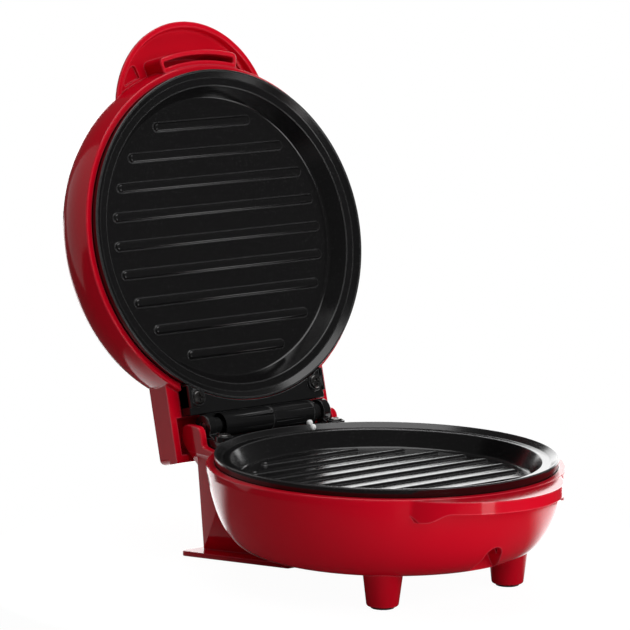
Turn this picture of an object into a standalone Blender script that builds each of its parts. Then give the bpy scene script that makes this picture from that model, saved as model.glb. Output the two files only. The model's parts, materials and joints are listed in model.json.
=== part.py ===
"""A small round grill for one sandwich, with its lid swung open.

Two equal ribbed plates face each other. The lower one sits in a bowl shaped housing with a
stand behind it, the upper one in a domed lid that turns on a hinge at the back. Everything is
in metres. The base is modelled about the middle of its plate, at the height of the lip, and
the lid about the middle of its own plate, in a frame that hangs on the hinge.
"""

import math

import bmesh
import bpy
from mathutils import Matrix, Vector

# Cooking plates, with depths below the plane of the lip
PLATE_RADIUS = 0.0635
PLATE_UNDERCUT = 0.0007
PLATE_WALL_HEIGHT = 0.0043
LIP_WIDTH = 0.0008
LIP_SLOPE_WIDTH = 0.0023
LIP_ROUND = 0.0003
LEDGE_WIDTH = 0.0031
LEDGE_DEPTH = 0.0018
WELL_SLOPE_WIDTH = 0.0037
FLOOR_DEPTH = 0.0085
FLOOR_FILLET = 0.0014
PLATE_METAL = 0.0021
FLANGE_WIDTH = 0.0021

# Ribs on the cooking plates
RIB_COUNT = 9
RIB_MARGIN = 0.0041
RIB_SPAN_SHARE = 0.88323
RIB_FOOT_WIDTH = 0.0031
RIB_TOP_WIDTH = 0.0019
RIB_HEIGHT = 0.0017
RIB_ROOT = 0.0006

# Screw bosses under the plates
BOSS_COUNT = 3
BOSS_CIRCLE = 0.022
BOSS_RADIUS = 0.0036
BOSS_HEIGHT = 0.0074
BOSS_ROOT = 0.0005

# Screws
SCREW_RADIUS = 0.0013
SCREW_HEAD_RIM = 0.0013
SCREW_HEAD_HEIGHT = 0.0018
SCREW_HOLE_GAP = 0.0003
SCREW_BITE = 0.0054
DRIVE_SLOT_WIDTH = 0.0007
DRIVE_SLOT_DEPTH = 0.0008

# Gaps between pieces that touch, and the reach of cutters past what they cut
SEAT_GAP = 0.0003
RUNNING_GAP = 0.0003
OVERRUN = 0.004

# Housing walls shared by the base and the lid
SHELL_WALL = 0.0023
RIM_TOP = -0.0034
RIM_CHAMFER = 0.0005
SEAT_DEPTH = 0.0024
SEAT_WIDTH = 0.0019

# Bowl of the base
BOWL_RIM_WALL = 0.0033
BOWL_RIM_DEPTH = 0.0012
BOWL_RIM_DRAFT = 0.0016
BOWL_RIM_REACH = 0.0085
BOWL_FLAT_INSET = 0.0184
BOWL_FLAT_REACH = 0.0135
BOWL_DEPTH = 0.0301

# Thumb ledge on the front of the base
THUMB_LEDGE_PROUD = 0.0104
THUMB_LEDGE_HALF_WIDTH = 0.0342
THUMB_LEDGE_BOW = 0.0063
THUMB_LEDGE_DROP = 0.0002
THUMB_LEDGE_MID_HEIGHT = 0.0045
THUMB_LEDGE_END_HEIGHT = 0.0082
THUMB_LEDGE_SWEEP = 0.0085
THUMB_LEDGE_EDGE = 0.0006
THUMB_LEDGE_ROOT_SHARE = 0.8

# Arched notch low on the front of the base
NOTCH_HALF_WIDTH = 0.0042
NOTCH_FLARE = 0.0020
NOTCH_HEIGHT = 0.0104
NOTCH_LENGTH = 0.0150
NOTCH_LINING = 0.0020

# Feet
STANDING_HEIGHT = 0.0124
FRONT_FOOT_X = 0.0302
FRONT_FOOT_Y = -0.0340
FRONT_FOOT_RADIUS = 0.0058
FRONT_FOOT_FLARE = 0.0016
FRONT_FOOT_ROUND = 0.0008
FOOT_PAD_RADIUS = 0.0044
FOOT_PAD_SHOW = 0.0008
FOOT_PAD_RECESS = 0.0008

# Hinge axis, the same for the base and the lid
HINGE_BEHIND_PLATE = 0.0081
HINGE_Z = 0.0022
CLOSED_GAP = 0.0040
OPEN_ANGLE = math.radians(104.8)
BARREL_RADIUS = 0.0045
BARREL_HALF_LENGTH = 0.0226
BARREL_END_RADIUS = 0.0032
BARREL_END_LENGTH = 0.0032
COLLAR_X = 0.0022
COLLAR_WIDTH = 0.0011
COLLAR_HEIGHT = 0.0003
NECK_FRONT = -0.0026
NECK_SHORTFALL = 0.0020
KNUCKLE_RADIUS = 0.0046
KNUCKLE_WIDTH = 0.0034
KNUCKLE_CUT_ANGLE = math.radians(30)
PIN_RADIUS = 0.0016
PIN_LENGTH = 0.0110
PIN_INSET = 0.0006
PIN_FIT = 0.0002

# Ears of the base housing, one beside each end of the hinge
EAR_THICKNESS = 0.0029
EAR_BESIDE_KNUCKLE = 0.0011
EAR_OVER_HINGE = 0.0008
EAR_BEFORE_HINGE = 0.0030
EAR_BEHIND_HINGE = 0.0076
EAR_FOOT_LENGTH = 0.0086
EAR_FOOT_Z = -0.0052
EAR_HEEL_BEHIND_HINGE = 0.0032
EAR_HEEL_Z = -0.0078
EAR_ROUND = 0.0034
EAR_RELIEF = 0.0001
EAR_SLOPE_Z = -0.0070
EAR_SLOPE_IN = 0.0042

# Rear stand: a tapered column over a thin foot plate
STAND_TOP = -0.0063
STAND_BEFORE_HINGE = 0.0006
STAND_REAR_LEAN = 0.0030
STAND_TOP_DEPTH = 0.0210
STAND_BOTTOM_DEPTH = 0.0220
STAND_REAR_TOP_INSET = 0.0003
STAND_REAR_TAPER = 0.0062
STAND_FRONT_TOP_INSET = 0.0009
STAND_FRONT_BOTTOM_HALF = 0.0165
STAND_EDGE = 0.0010
FOOT_PLATE_THICKNESS = 0.0020
FOOT_PLATE_BEHIND_STAND = 0.0027
FOOT_PLATE_BEFORE_STAND = 0.0175
FOOT_PLATE_REAR_HALF = 0.0362
FOOT_PLATE_FRONT_HALF = 0.0178
FOOT_PLATE_CORNER = 0.0015

# Hinge cover of the base
BASE_COVER_TOP = -0.0015
BASE_COVER_BEFORE_HINGE = 0.0008
BASE_COVER_SIDE_GAP = 0.0004
BASE_BOSS_INSET = 0.0034
BASE_BOSS_FROM_PLATE = 0.0034
BASE_BOSS_HEIGHT = 0.0018
COVER_BOSS_WALL = 0.0007
COVER_BOSS_RECESS_GAP = 0.0002
COVER_BOSS_RECESS_DEPTH = 0.0012
COVER_SCREW_LENGTH = 0.0078
COVER_EDGE = 0.0004

# Hinge cover of the lid, in the lid's own frame
LID_COVER_INSET = 0.0009
LID_COVER_THICKNESS = 0.0060
LID_COVER_FACE = 0.0000
LID_COVER_BEFORE_HINGE = 0.0064
LID_BOSS_INSET = 0.0041
LID_BOSS_FROM_PLATE = 0.0029
LID_BOSS_HEIGHT = 0.0010
SIDE_RIB_HEIGHT = 0.0011
SIDE_RIB_WIDTH = 0.0011
SIDE_RIB_LENGTH = 0.0086
SIDE_RIB_END_INSET = 0.0014

# Dome of the lid
DOME_RIM_WALL = 0.0037
DOME_RIM_DEPTH = 0.0014
DOME_RIM_DRAFT = -0.0004
DOME_RIM_REACH = 0.0115
DOME_FLAT_INSET = 0.0230
DOME_FLAT_REACH = 0.0195
DOME_DEPTH = 0.0252

# Skirt on the lid behind the hinge
SKIRT_BESIDE_EAR = 0.0048
SKIRT_BEHIND_HINGE = 0.0120
SKIRT_START = 0.0400
SKIRT_MOUTH = -0.0057
SKIRT_DEPTH = 0.0119
SKIRT_WALL = 0.0029
SKIRT_ROUND = 0.0022

# Handle on the front of the lid
HANDLE_INSET = 0.0183
HANDLE_RADIUS = 0.0348
HANDLE_FACE = -0.0090
HANDLE_THICKNESS = 0.0060
HANDLE_WALL = 0.0024
HANDLE_PANEL = 0.0042
HANDLE_SKIN = 0.0022
HANDLE_EDGE = 0.0005
LOOP_TOP = -0.0040
LOOP_ROOT = 0.0013
LOOP_PROUD = 0.0048
LOOP_HALF_WIDTH = 0.0187
LOOP_CORNER = 0.0018
LOOP_SLOT_GAP = 0.0009
LOOP_WALL = 0.0015
LOOP_END_WALL = 0.0013
POCKET_GAP = 0.0006
POCKET_PROUD = 0.0010
POCKET_HALF_WIDTH = 0.0043
POCKET_TURN = math.radians(21.8)
POCKET_CORNER = 0.0012
POCKET_WALL_STEP = 0.0003

# Heating
SHIELD_METAL = 0.0006
SHIELD_MARGIN = 0.0036
SHIELD_RIM_DEPTH = 0.0082
SHIELD_DRAFT = 0.0043
SHIELD_FILLET = 0.0020
ELEMENT_INSET = 0.0136
ELEMENT_TUBE = 0.0028
ELEMENT_PIN_LENGTH = 0.0080
ELEMENT_SWEEP = math.radians(300)
ELEMENT_PIN_SHARE = 0.36
THERMOSTAT_RADIUS = 0.0080
THERMOSTAT_STEP_WIDTH = 0.0018
THERMOSTAT_BODY = 0.0026
THERMOSTAT_CAP = 0.0026
FUSE_RADIUS = 0.0016
FUSE_LENGTH = 0.0110
FUSE_INSIDE_ELEMENT = 0.0090

# Electrical pieces on the floor of the base
POST_RADIUS = 0.0044
POST_HOLE_GAP = 0.0005
COUNTERBORE_GAP = 0.0004
COUNTERBORE_DEPTH = 0.0075
POST_TURN = math.radians(11)
TERMINAL_LENGTH = 0.0180
TERMINAL_WIDTH = 0.0090
TERMINAL_HEIGHT = 0.0075
TERMINAL_STEP = 0.0025
TERMINAL_Y = 0.0340
GLAND_BELOW_STAND_TOP = 0.0177
GLAND_FLANGE_RIM = 0.0018
GLAND_FLANGE = 0.0015
GLAND_WALL = 0.0011
GLAND_BORE_RADIUS = 0.0033
GLAND_LENGTH = 0.0095

# Indicator on the top of the lid
LENS_V = 0.0200
LENS_RADIUS = 0.0034
LENS_FLANGE_RIM = 0.0016
LENS_FLANGE = 0.0012
LENS_PROUD = 0.0008
LAMP_INSET = 0.0010
LAMP_LENGTH = 0.0058

# Bumper on the rear lip of the lower plate
BUMPER_X = 0.0120
BUMPER_BEAD_RADIUS = 0.0010
BUMPER_HEAD_INSET = 0.0040
BUMPER_TAIL_INSET = 0.0050
BUMPER_RISE = 0.0015

# Facets
SHELL_STEPS = 48
PLATE_STEPS = 40
CURVE_STEPS = 5
SMALL_STEPS = 16
TINY_STEPS = 8
FILLET_STEPS = 2
ARC_STEPS = 10
RIB_END_STEPS = 3
SMOOTH_ANGLE = math.radians(32)
BEVEL_ANGLE = math.radians(40)
CORNER_BEVEL_ANGLE = math.radians(60)
MERGE_DISTANCE = 0.00001

# Colours, each with its roughness share
RED = (0.52, 0.004, 0.012)
RED_ROUGHNESS_SHARE = 0.12
PLATE_BLACK = (0.012, 0.011, 0.012)
PLATE_ROUGHNESS_SHARE = 0.38
GLOSS_BLACK = (0.010, 0.010, 0.010)
GLOSS_BLACK_ROUGHNESS_SHARE = 0.22
STEEL = (0.55, 0.55, 0.56)
STEEL_ROUGHNESS_SHARE = 0.28
DARK_STEEL = (0.10, 0.10, 0.10)
DARK_STEEL_ROUGHNESS_SHARE = 0.40
ELEMENT_GREY = (0.22, 0.21, 0.20)
ELEMENT_ROUGHNESS_SHARE = 0.45
RUBBER = (0.02, 0.02, 0.02)
RUBBER_ROUGHNESS_SHARE = 0.75
CERAMIC = (0.78, 0.76, 0.70)
CERAMIC_ROUGHNESS_SHARE = 0.55
WHITE = (0.86, 0.86, 0.84)
WHITE_ROUGHNESS_SHARE = 0.45
AMBER = (0.75, 0.08, 0.02)
AMBER_ROUGHNESS_SHARE = 0.15

# Plates and what lies under them
PLATE_WALL_RADIUS = PLATE_RADIUS - PLATE_UNDERCUT
LEDGE_OUTER_RADIUS = PLATE_RADIUS - LIP_WIDTH - LIP_SLOPE_WIDTH
LEDGE_INNER_RADIUS = LEDGE_OUTER_RADIUS - LEDGE_WIDTH
FLOOR_RADIUS = LEDGE_INNER_RADIUS - WELL_SLOPE_WIDTH
RIB_CIRCLE = FLOOR_RADIUS - RIB_MARGIN
RIB_PITCH = RIB_CIRCLE * RIB_SPAN_SHARE / (RIB_COUNT // 2)
SCREW_HEAD_RADIUS = SCREW_RADIUS + SCREW_HEAD_RIM
SCREW_HOLE_RADIUS = SCREW_RADIUS + SCREW_HOLE_GAP
FLOOR_UNDERSIDE = -(FLOOR_DEPTH + PLATE_METAL)
BOSS_END = FLOOR_UNDERSIDE - BOSS_HEIGHT
SHIELD_TOP = BOSS_END - SEAT_GAP
SHIELD_UNDERSIDE = SHIELD_TOP - SHIELD_METAL
SHIELD_RIM_RADIUS = FLOOR_RADIUS + PLATE_METAL + SHIELD_MARGIN
SHIELD_FLOOR_RADIUS = SHIELD_RIM_RADIUS - SHIELD_DRAFT
ELEMENT_RADIUS = FLOOR_RADIUS - ELEMENT_INSET
THERMOSTAT_CAP_RADIUS = THERMOSTAT_RADIUS - THERMOSTAT_STEP_WIDTH
THERMOSTAT_HEIGHT = THERMOSTAT_BODY + THERMOSTAT_CAP
FUSE_CIRCLE = ELEMENT_RADIUS - FUSE_INSIDE_ELEMENT
BUMPER_HEAD_RADIUS = PLATE_RADIUS - BUMPER_HEAD_INSET
BUMPER_TAIL_RADIUS = PLATE_RADIUS - BUMPER_TAIL_INSET

# Bowl and dome round the plates
SEAT_TOP = -PLATE_WALL_HEIGHT - SEAT_GAP
RIM_INNER_RADIUS = PLATE_WALL_RADIUS + SEAT_GAP
BOWL_RIM_RADIUS = RIM_INNER_RADIUS + BOWL_RIM_WALL
BOWL_RIM_HEIGHT = RIM_TOP - BOWL_RIM_DEPTH
BOWL_FLAT_RADIUS = BOWL_RIM_RADIUS - BOWL_FLAT_INSET
BOWL_BOTTOM = BOWL_RIM_HEIGHT - BOWL_DEPTH
DOME_RIM_RADIUS = RIM_INNER_RADIUS + DOME_RIM_WALL
DOME_RIM_HEIGHT = RIM_TOP - DOME_RIM_DEPTH
DOME_FLAT_RADIUS = DOME_RIM_RADIUS - DOME_FLAT_INSET
DOME_TOP = DOME_RIM_HEIGHT - DOME_DEPTH
THUMB_LEDGE_RADIUS = THUMB_LEDGE_HALF_WIDTH + THUMB_LEDGE_BOW
THUMB_LEDGE_CENTRE_Y = THUMB_LEDGE_RADIUS - BOWL_RIM_RADIUS - THUMB_LEDGE_PROUD
THUMB_LEDGE_TOP = RIM_TOP - THUMB_LEDGE_DROP
NOTCH_TOP = BOWL_BOTTOM + NOTCH_HEIGHT
NOTCH_FOOT_HALF = NOTCH_HALF_WIDTH + NOTCH_FLARE
FLOOR_LEVEL = BOWL_BOTTOM - STANDING_HEIGHT
FRONT_FOOT_TOP_RADIUS = FRONT_FOOT_RADIUS + FRONT_FOOT_FLARE
COUNTERBORE_RADIUS = SCREW_HEAD_RADIUS + COUNTERBORE_GAP
COUNTERBORE_TOP = BOWL_BOTTOM + COUNTERBORE_DEPTH
POST_HOLE_RADIUS = SCREW_RADIUS + POST_HOLE_GAP

# Hinge, ears and covers
HINGE_Y = PLATE_RADIUS + HINGE_BEHIND_PLATE
LID_HINGE_V = -HINGE_Y
LID_HINGE_W = CLOSED_GAP - HINGE_Z
NECK_HALF_LENGTH = BARREL_HALF_LENGTH - NECK_SHORTFALL
KNUCKLE_INNER_X = BARREL_HALF_LENGTH + BARREL_END_LENGTH + RUNNING_GAP
KNUCKLE_OUTER_X = KNUCKLE_INNER_X + KNUCKLE_WIDTH
PIN_OUTER_X = KNUCKLE_OUTER_X - PIN_INSET
PIN_INNER_X = PIN_OUTER_X - PIN_LENGTH
EAR_INNER_X = KNUCKLE_OUTER_X + EAR_BESIDE_KNUCKLE
EAR_OUTER_X = EAR_INNER_X + EAR_THICKNESS
EAR_TOP = HINGE_Z + EAR_OVER_HINGE
EAR_FRONT_Y = HINGE_Y - EAR_BEFORE_HINGE
EAR_REAR_Y = HINGE_Y + EAR_BEHIND_HINGE
EAR_FOOT_Y = EAR_FRONT_Y - EAR_FOOT_LENGTH
EAR_HEEL_Y = HINGE_Y + EAR_HEEL_BEHIND_HINGE
EAR_BOTTOM_Z = EAR_HEEL_Z * 2
EAR_SLOPE = EAR_SLOPE_IN / (EAR_SLOPE_Z - EAR_BOTTOM_Z)
STAND_REAR_TOP_Y = HINGE_Y - STAND_BEFORE_HINGE
STAND_REAR_BOTTOM_Y = STAND_REAR_TOP_Y + STAND_REAR_LEAN
STAND_FRONT_TOP_Y = STAND_REAR_TOP_Y - STAND_TOP_DEPTH
STAND_FRONT_BOTTOM_Y = STAND_REAR_BOTTOM_Y - STAND_BOTTOM_DEPTH
STAND_REAR_TOP_HALF = EAR_OUTER_X - STAND_REAR_TOP_INSET
STAND_REAR_BOTTOM_HALF = STAND_REAR_TOP_HALF - STAND_REAR_TAPER
STAND_FRONT_TOP_HALF = STAND_REAR_TOP_HALF - STAND_FRONT_TOP_INSET
FOOT_PLATE_REAR_Y = STAND_REAR_BOTTOM_Y + FOOT_PLATE_BEHIND_STAND
FOOT_PLATE_FRONT_Y = STAND_FRONT_BOTTOM_Y - FOOT_PLATE_BEFORE_STAND
COVER_FRONT_RADIUS = PLATE_RADIUS + SEAT_GAP
COVER_BOSS_RECESS_RADIUS = SCREW_HEAD_RADIUS + COVER_BOSS_RECESS_GAP
COVER_BOSS_RADIUS = COVER_BOSS_RECESS_RADIUS + COVER_BOSS_WALL
BASE_COVER_HALF_WIDTH = EAR_INNER_X - BASE_COVER_SIDE_GAP
BASE_COVER_REAR_Y = HINGE_Y - BASE_COVER_BEFORE_HINGE
BASE_BOSS_X = EAR_INNER_X - BASE_BOSS_INSET
BASE_BOSS_Y = math.sqrt((COVER_FRONT_RADIUS + BASE_BOSS_FROM_PLATE)**2 - BASE_BOSS_X**2)
BASE_BOSS_TOP = BASE_COVER_TOP + BASE_BOSS_HEIGHT
LID_COVER_HALF_WIDTH = EAR_OUTER_X - LID_COVER_INSET
LID_COVER_BACK = LID_COVER_FACE - LID_COVER_THICKNESS
LID_COVER_REACH = HINGE_Y - LID_COVER_BEFORE_HINGE
LID_BOSS_X = LID_COVER_HALF_WIDTH - LID_BOSS_INSET
LID_BOSS_V = -math.sqrt((COVER_FRONT_RADIUS + LID_BOSS_FROM_PLATE)**2 - LID_BOSS_X**2)
LID_BOSS_TOP = LID_COVER_FACE + LID_BOSS_HEIGHT
SIDE_RIB_END = SIDE_RIB_END_INSET - LID_COVER_REACH
SIDE_RIB_START = SIDE_RIB_END + SIDE_RIB_LENGTH

# Skirt and handle
SKIRT_HALF_WIDTH = EAR_OUTER_X + SKIRT_BESIDE_EAR
SKIRT_REACH = HINGE_Y + SKIRT_BEHIND_HINGE
SKIRT_BACK = SKIRT_MOUTH - SKIRT_DEPTH
HANDLE_CENTRE_V = DOME_RIM_RADIUS - HANDLE_INSET
HANDLE_BACK = HANDLE_FACE - HANDLE_THICKNESS
LOOP_INNER_RADIUS = DOME_RIM_RADIUS - LOOP_ROOT
LOOP_OUTER_RADIUS = DOME_RIM_RADIUS + LOOP_PROUD
LOOP_SLOT_INNER_RADIUS = DOME_RIM_RADIUS + LOOP_SLOT_GAP
LOOP_SLOT_OUTER_RADIUS = LOOP_OUTER_RADIUS - LOOP_WALL
LOOP_SLOT_HALF_WIDTH = LOOP_HALF_WIDTH - LOOP_END_WALL
POCKET_INNER_RADIUS = DOME_RIM_RADIUS + POCKET_GAP
POCKET_OUTER_RADIUS = LOOP_OUTER_RADIUS + POCKET_PROUD
HANDLE_HOLLOW_RADIUS = HANDLE_RADIUS - HANDLE_WALL
POCKET_LIMIT_RADIUS = HANDLE_HOLLOW_RADIUS - POCKET_WALL_STEP

# Gland, lens and lamp
GLAND_HEIGHT = STAND_TOP - GLAND_BELOW_STAND_TOP
GLAND_SLEEVE_RADIUS = GLAND_BORE_RADIUS + GLAND_WALL
GLAND_FLANGE_RADIUS = GLAND_SLEEVE_RADIUS + GLAND_FLANGE_RIM
LENS_FLANGE_RADIUS = LENS_RADIUS + LENS_FLANGE_RIM
LAMP_RADIUS = LENS_RADIUS - LAMP_INSET


def clear_scene():
    for old in list(bpy.data.objects):
        bpy.data.objects.remove(old, do_unlink=True)


def new_collection(name):
    group = bpy.data.collections.new(name)
    bpy.context.scene.collection.children.link(group)
    return group


def new_material(name, colour, roughness, metallic=0.0):
    material = bpy.data.materials.new(name)
    material.use_nodes = True
    shader = material.node_tree.nodes["Principled BSDF"]
    shader.inputs["Base Color"].default_value = (*colour, 1.0)
    shader.inputs["Roughness"].default_value = roughness
    shader.inputs["Metallic"].default_value = metallic
    return material


def rounded(corners, closed=False):
    """Turns corners of (across, up, radius) into a line whose corners are arcs."""
    points = []
    count = len(corners)
    for index, (across, up, radius) in enumerate(corners):
        here = Vector((across, up))
        end = not closed and index in (0, count - 1)
        if end or radius == 0:
            points.append(here)
            continue
        before = (Vector(corners[index - 1][:2]) - here).normalized()
        after = (Vector(corners[(index + 1) % count][:2]) - here).normalized()
        half_turn = before.angle(after) / 2
        to_centre = (before + after).normalized()
        centre = here + to_centre * (radius / math.sin(half_turn))
        start = here + before * (radius / math.tan(half_turn)) - centre
        finish = here + after * (radius / math.tan(half_turn)) - centre
        turn = start.angle_signed(finish)
        for step in range(FILLET_STEPS + 1):
            spoke = start.copy()
            spoke.rotate(Matrix.Rotation(-turn * step / FILLET_STEPS, 2))
            points.append(centre + spoke)
    return [(point.x, point.y) for point in points]


def bezier(handles, steps=CURVE_STEPS):
    """Points along the cubic curve with these four handles."""
    first, second, third, fourth = [Vector(handle) for handle in handles]
    points = []
    for step in range(steps + 1):
        t = step / steps
        s = 1 - t
        point = first * s**3 + second * (3 * s * s * t) + third * (3 * s * t * t) + fourth * t**3
        points.append((point.x, point.y))
    return points


def inset(points, distance):
    """The same line moved inwards, to the left of its way down the outer side."""
    moved = []
    for index, point in enumerate(points):
        before = Vector(points[max(index - 1, 0)])
        after = Vector(points[min(index + 1, len(points) - 1)])
        along = (after - before).normalized()
        moved.append((point[0] + along.y * distance, point[1] - along.x * distance))
    return moved


def arc(radius, start, finish, centre=(0, 0), steps=ARC_STEPS):
    turns = [start + (finish - start) * step / steps for step in range(steps + 1)]
    return [(centre[0] + radius * math.cos(t), centre[1] + radius * math.sin(t)) for t in turns]


def shade(mesh):
    mesh.shade_smooth()
    mesh.set_sharp_from_angle(angle=SMOOTH_ANGLE)


def add_object(name, mesh, group, parent=None):
    made = bpy.data.objects.new(name, mesh)
    group.objects.link(made)
    made.parent = parent
    if group is GUIDES:
        made.hide_render = True
        made.display_type = "WIRE"
    return made


def turned(name, profile, group, parent=None, steps=SMALL_STEPS):
    """A profile of (radius, height) turned once about its upright axis."""
    mesh = bpy.data.meshes.new(name)
    path = bmesh.new()
    corners = [path.verts.new((radius, 0, height)) for radius, height in profile]
    for start, finish in zip(corners, corners[1:]):
        path.edges.new((start, finish))
    path.to_mesh(mesh)
    path.free()
    made = add_object(name, mesh, group, parent)
    screw = made.modifiers.new("turn", "SCREW")
    screw.axis = "Z"
    screw.steps = steps
    screw.render_steps = steps
    screw.use_merge_vertices = True
    screw.merge_threshold = MERGE_DISTANCE
    screw.use_smooth_shade = True
    return made


def prism(name, outline, low, high, group, parent=None, facing="Z"):
    """A flat outline given thickness from low to high along the axis that it faces.

    An outline that faces X is drawn on Y and Z, one that faces Y on X and Z.
    """
    curve = bpy.data.curves.new(name + "_outline", "CURVE")
    curve.dimensions = "2D"
    curve.fill_mode = "BOTH"
    curve.extrude = (high - low) / 2
    spline = curve.splines.new("POLY")
    spline.points.add(len(outline) - 1)
    for point, (across, up) in zip(spline.points, outline):
        point.co = (across, up, 0, 1)
    spline.use_cyclic_u = True
    sheet = bpy.data.objects.new(name + "_outline", curve)
    bpy.context.scene.collection.objects.link(sheet)
    evaluated = sheet.evaluated_get(bpy.context.evaluated_depsgraph_get())
    mesh = bpy.data.meshes.new_from_object(evaluated)
    bpy.data.objects.remove(sheet, do_unlink=True)
    turn = {
        "Z": Matrix.Identity(3),
        "X": Matrix(((0, 0, 1), (1, 0, 0), (0, 1, 0))),
        "Y": Matrix(((1, 0, 0), (0, 0, -1), (0, 1, 0))),
    }[facing]
    middle = (low + high) / 2
    if facing == "Y":
        middle = -middle
    solid = bmesh.new()
    solid.from_mesh(mesh)
    bmesh.ops.remove_doubles(solid, verts=solid.verts, dist=MERGE_DISTANCE)
    bmesh.ops.translate(solid, verts=solid.verts, vec=(0, 0, middle))
    bmesh.ops.transform(solid, verts=solid.verts, matrix=turn.to_4x4())
    bmesh.ops.recalc_face_normals(solid, faces=solid.faces)
    solid.to_mesh(mesh)
    solid.free()
    mesh.name = name
    return add_object(name, mesh, group, parent)


def cylinder(name, radius, low, high, group, parent=None, top_radius=None, steps=SMALL_STEPS):
    """An upright cylinder, or a cone where it has a top radius of its own."""
    mesh = bpy.data.meshes.new(name)
    solid = bmesh.new()
    bmesh.ops.create_cone(
        solid,
        cap_ends=True,
        segments=steps,
        radius1=radius,
        radius2=radius if top_radius is None else top_radius,
        depth=high - low,
    )
    bmesh.ops.translate(solid, verts=solid.verts, vec=(0, 0, (low + high) / 2))
    solid.to_mesh(mesh)
    solid.free()
    shade(mesh)
    return add_object(name, mesh, group, parent)


def block(name, lows, highs, group, parent=None):
    mesh = bpy.data.meshes.new(name)
    solid = bmesh.new()
    bmesh.ops.create_cube(solid, size=1)
    for corner in solid.verts:
        for axis in range(3):
            corner.co[axis] = highs[axis] if corner.co[axis] > 0 else lows[axis]
    solid.to_mesh(mesh)
    solid.free()
    return add_object(name, mesh, group, parent)


def boolean(target, tool, operation):
    change = target.modifiers.new(tool.name, "BOOLEAN")
    change.object = tool
    change.operation = operation
    change.solver = "EXACT"


def cut(target, *tools):
    for tool in tools:
        boolean(target, tool, "DIFFERENCE")


def unite(target, *tools):
    for tool in tools:
        boolean(target, tool, "UNION")


def bevel(target, width, segments=1, angle=BEVEL_ANGLE):
    edge = target.modifiers.new("edge", "BEVEL")
    edge.width = width
    edge.segments = segments
    edge.limit_method = "ANGLE"
    edge.angle_limit = angle
    edge.use_clamp_overlap = True


def paint(piece, material):
    piece.data.materials.clear()
    piece.data.materials.append(material)


def boss_places():
    places = []
    for index in range(BOSS_COUNT):
        turn = math.tau * index / BOSS_COUNT - math.pi / 2
        places.append((BOSS_CIRCLE * math.cos(turn), BOSS_CIRCLE * math.sin(turn)))
    return places


def plate_profile():
    """Floor, steep wall, narrow ledge and sloping lip of a cooking plate, and its underside."""
    lip_inner = PLATE_RADIUS - LIP_WIDTH
    well_shoulder = PLATE_WALL_RADIUS - FLANGE_WIDTH
    corners = [
        (0, -FLOOR_DEPTH, 0),
        (FLOOR_RADIUS, -FLOOR_DEPTH, FLOOR_FILLET),
        (LEDGE_INNER_RADIUS, -LEDGE_DEPTH, 0),
        (LEDGE_OUTER_RADIUS, -LEDGE_DEPTH, 0),
        (lip_inner, 0, LIP_ROUND),
        (PLATE_RADIUS, 0, LIP_ROUND),
        (PLATE_WALL_RADIUS, -PLATE_WALL_HEIGHT, 0),
        (well_shoulder, -PLATE_WALL_HEIGHT, 0),
        (LEDGE_INNER_RADIUS + PLATE_METAL, -LEDGE_DEPTH - PLATE_METAL * 2, 0),
        (FLOOR_RADIUS + PLATE_METAL, FLOOR_UNDERSIDE, FLOOR_FILLET),
        (0, FLOOR_UNDERSIDE, 0),
    ]
    return rounded(corners)


def make_ribs(name):
    """Ribs with sloping sides and round ends that stop on a circle."""
    mesh = bpy.data.meshes.new(name)
    ribs = bmesh.new()
    foot = -FLOOR_DEPTH - RIB_ROOT
    crest = -FLOOR_DEPTH + RIB_HEIGHT
    half_count = RIB_COUNT // 2
    for row in range(-half_count, half_count + 1):
        across = row * RIB_PITCH
        reach = math.sqrt(RIB_CIRCLE**2 - across**2) - RIB_FOOT_WIDTH / 2
        corners = []
        for width, height in ((RIB_FOOT_WIDTH, foot), (RIB_TOP_WIDTH, crest)):
            for side in (-1, 1):
                start = -math.pi / 2 * side
                end = arc(width / 2, start, start + math.pi, (side * reach, across), RIB_END_STEPS)
                corners += [ribs.verts.new((x, y, height)) for x, y in end]
        bmesh.ops.convex_hull(ribs, input=corners)
    bmesh.ops.recalc_face_normals(ribs, faces=ribs.faces)
    ribs.to_mesh(mesh)
    ribs.free()
    return add_object(name, mesh, GUIDES)


def make_plate(name, frame, material):
    plate = turned(name, plate_profile(), PARTS, frame, PLATE_STEPS)
    ribs = make_ribs(name + "_ribs")
    ribs.parent = frame
    bosses = []
    holes = []
    for index, (x, y) in enumerate(boss_places()):
        boss_top = FLOOR_UNDERSIDE + BOSS_ROOT
        boss = cylinder(f"{name}_boss_{index}", BOSS_RADIUS, BOSS_END, boss_top, GUIDES, frame,
                        steps=TINY_STEPS)
        boss.location = (x, y, 0)
        hole_top = BOSS_END + SCREW_BITE + SEAT_GAP
        hole_foot = BOSS_END - OVERRUN
        hole = cylinder(f"{name}_hole_{index}", SCREW_HOLE_RADIUS, hole_foot, hole_top, GUIDES, frame,
                        steps=TINY_STEPS)
        hole.location = (x, y, 0)
        bosses.append(boss)
        holes.append(hole)
    unite(plate, ribs, *bosses)
    cut(plate, *holes)
    paint(plate, material)
    return plate


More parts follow.
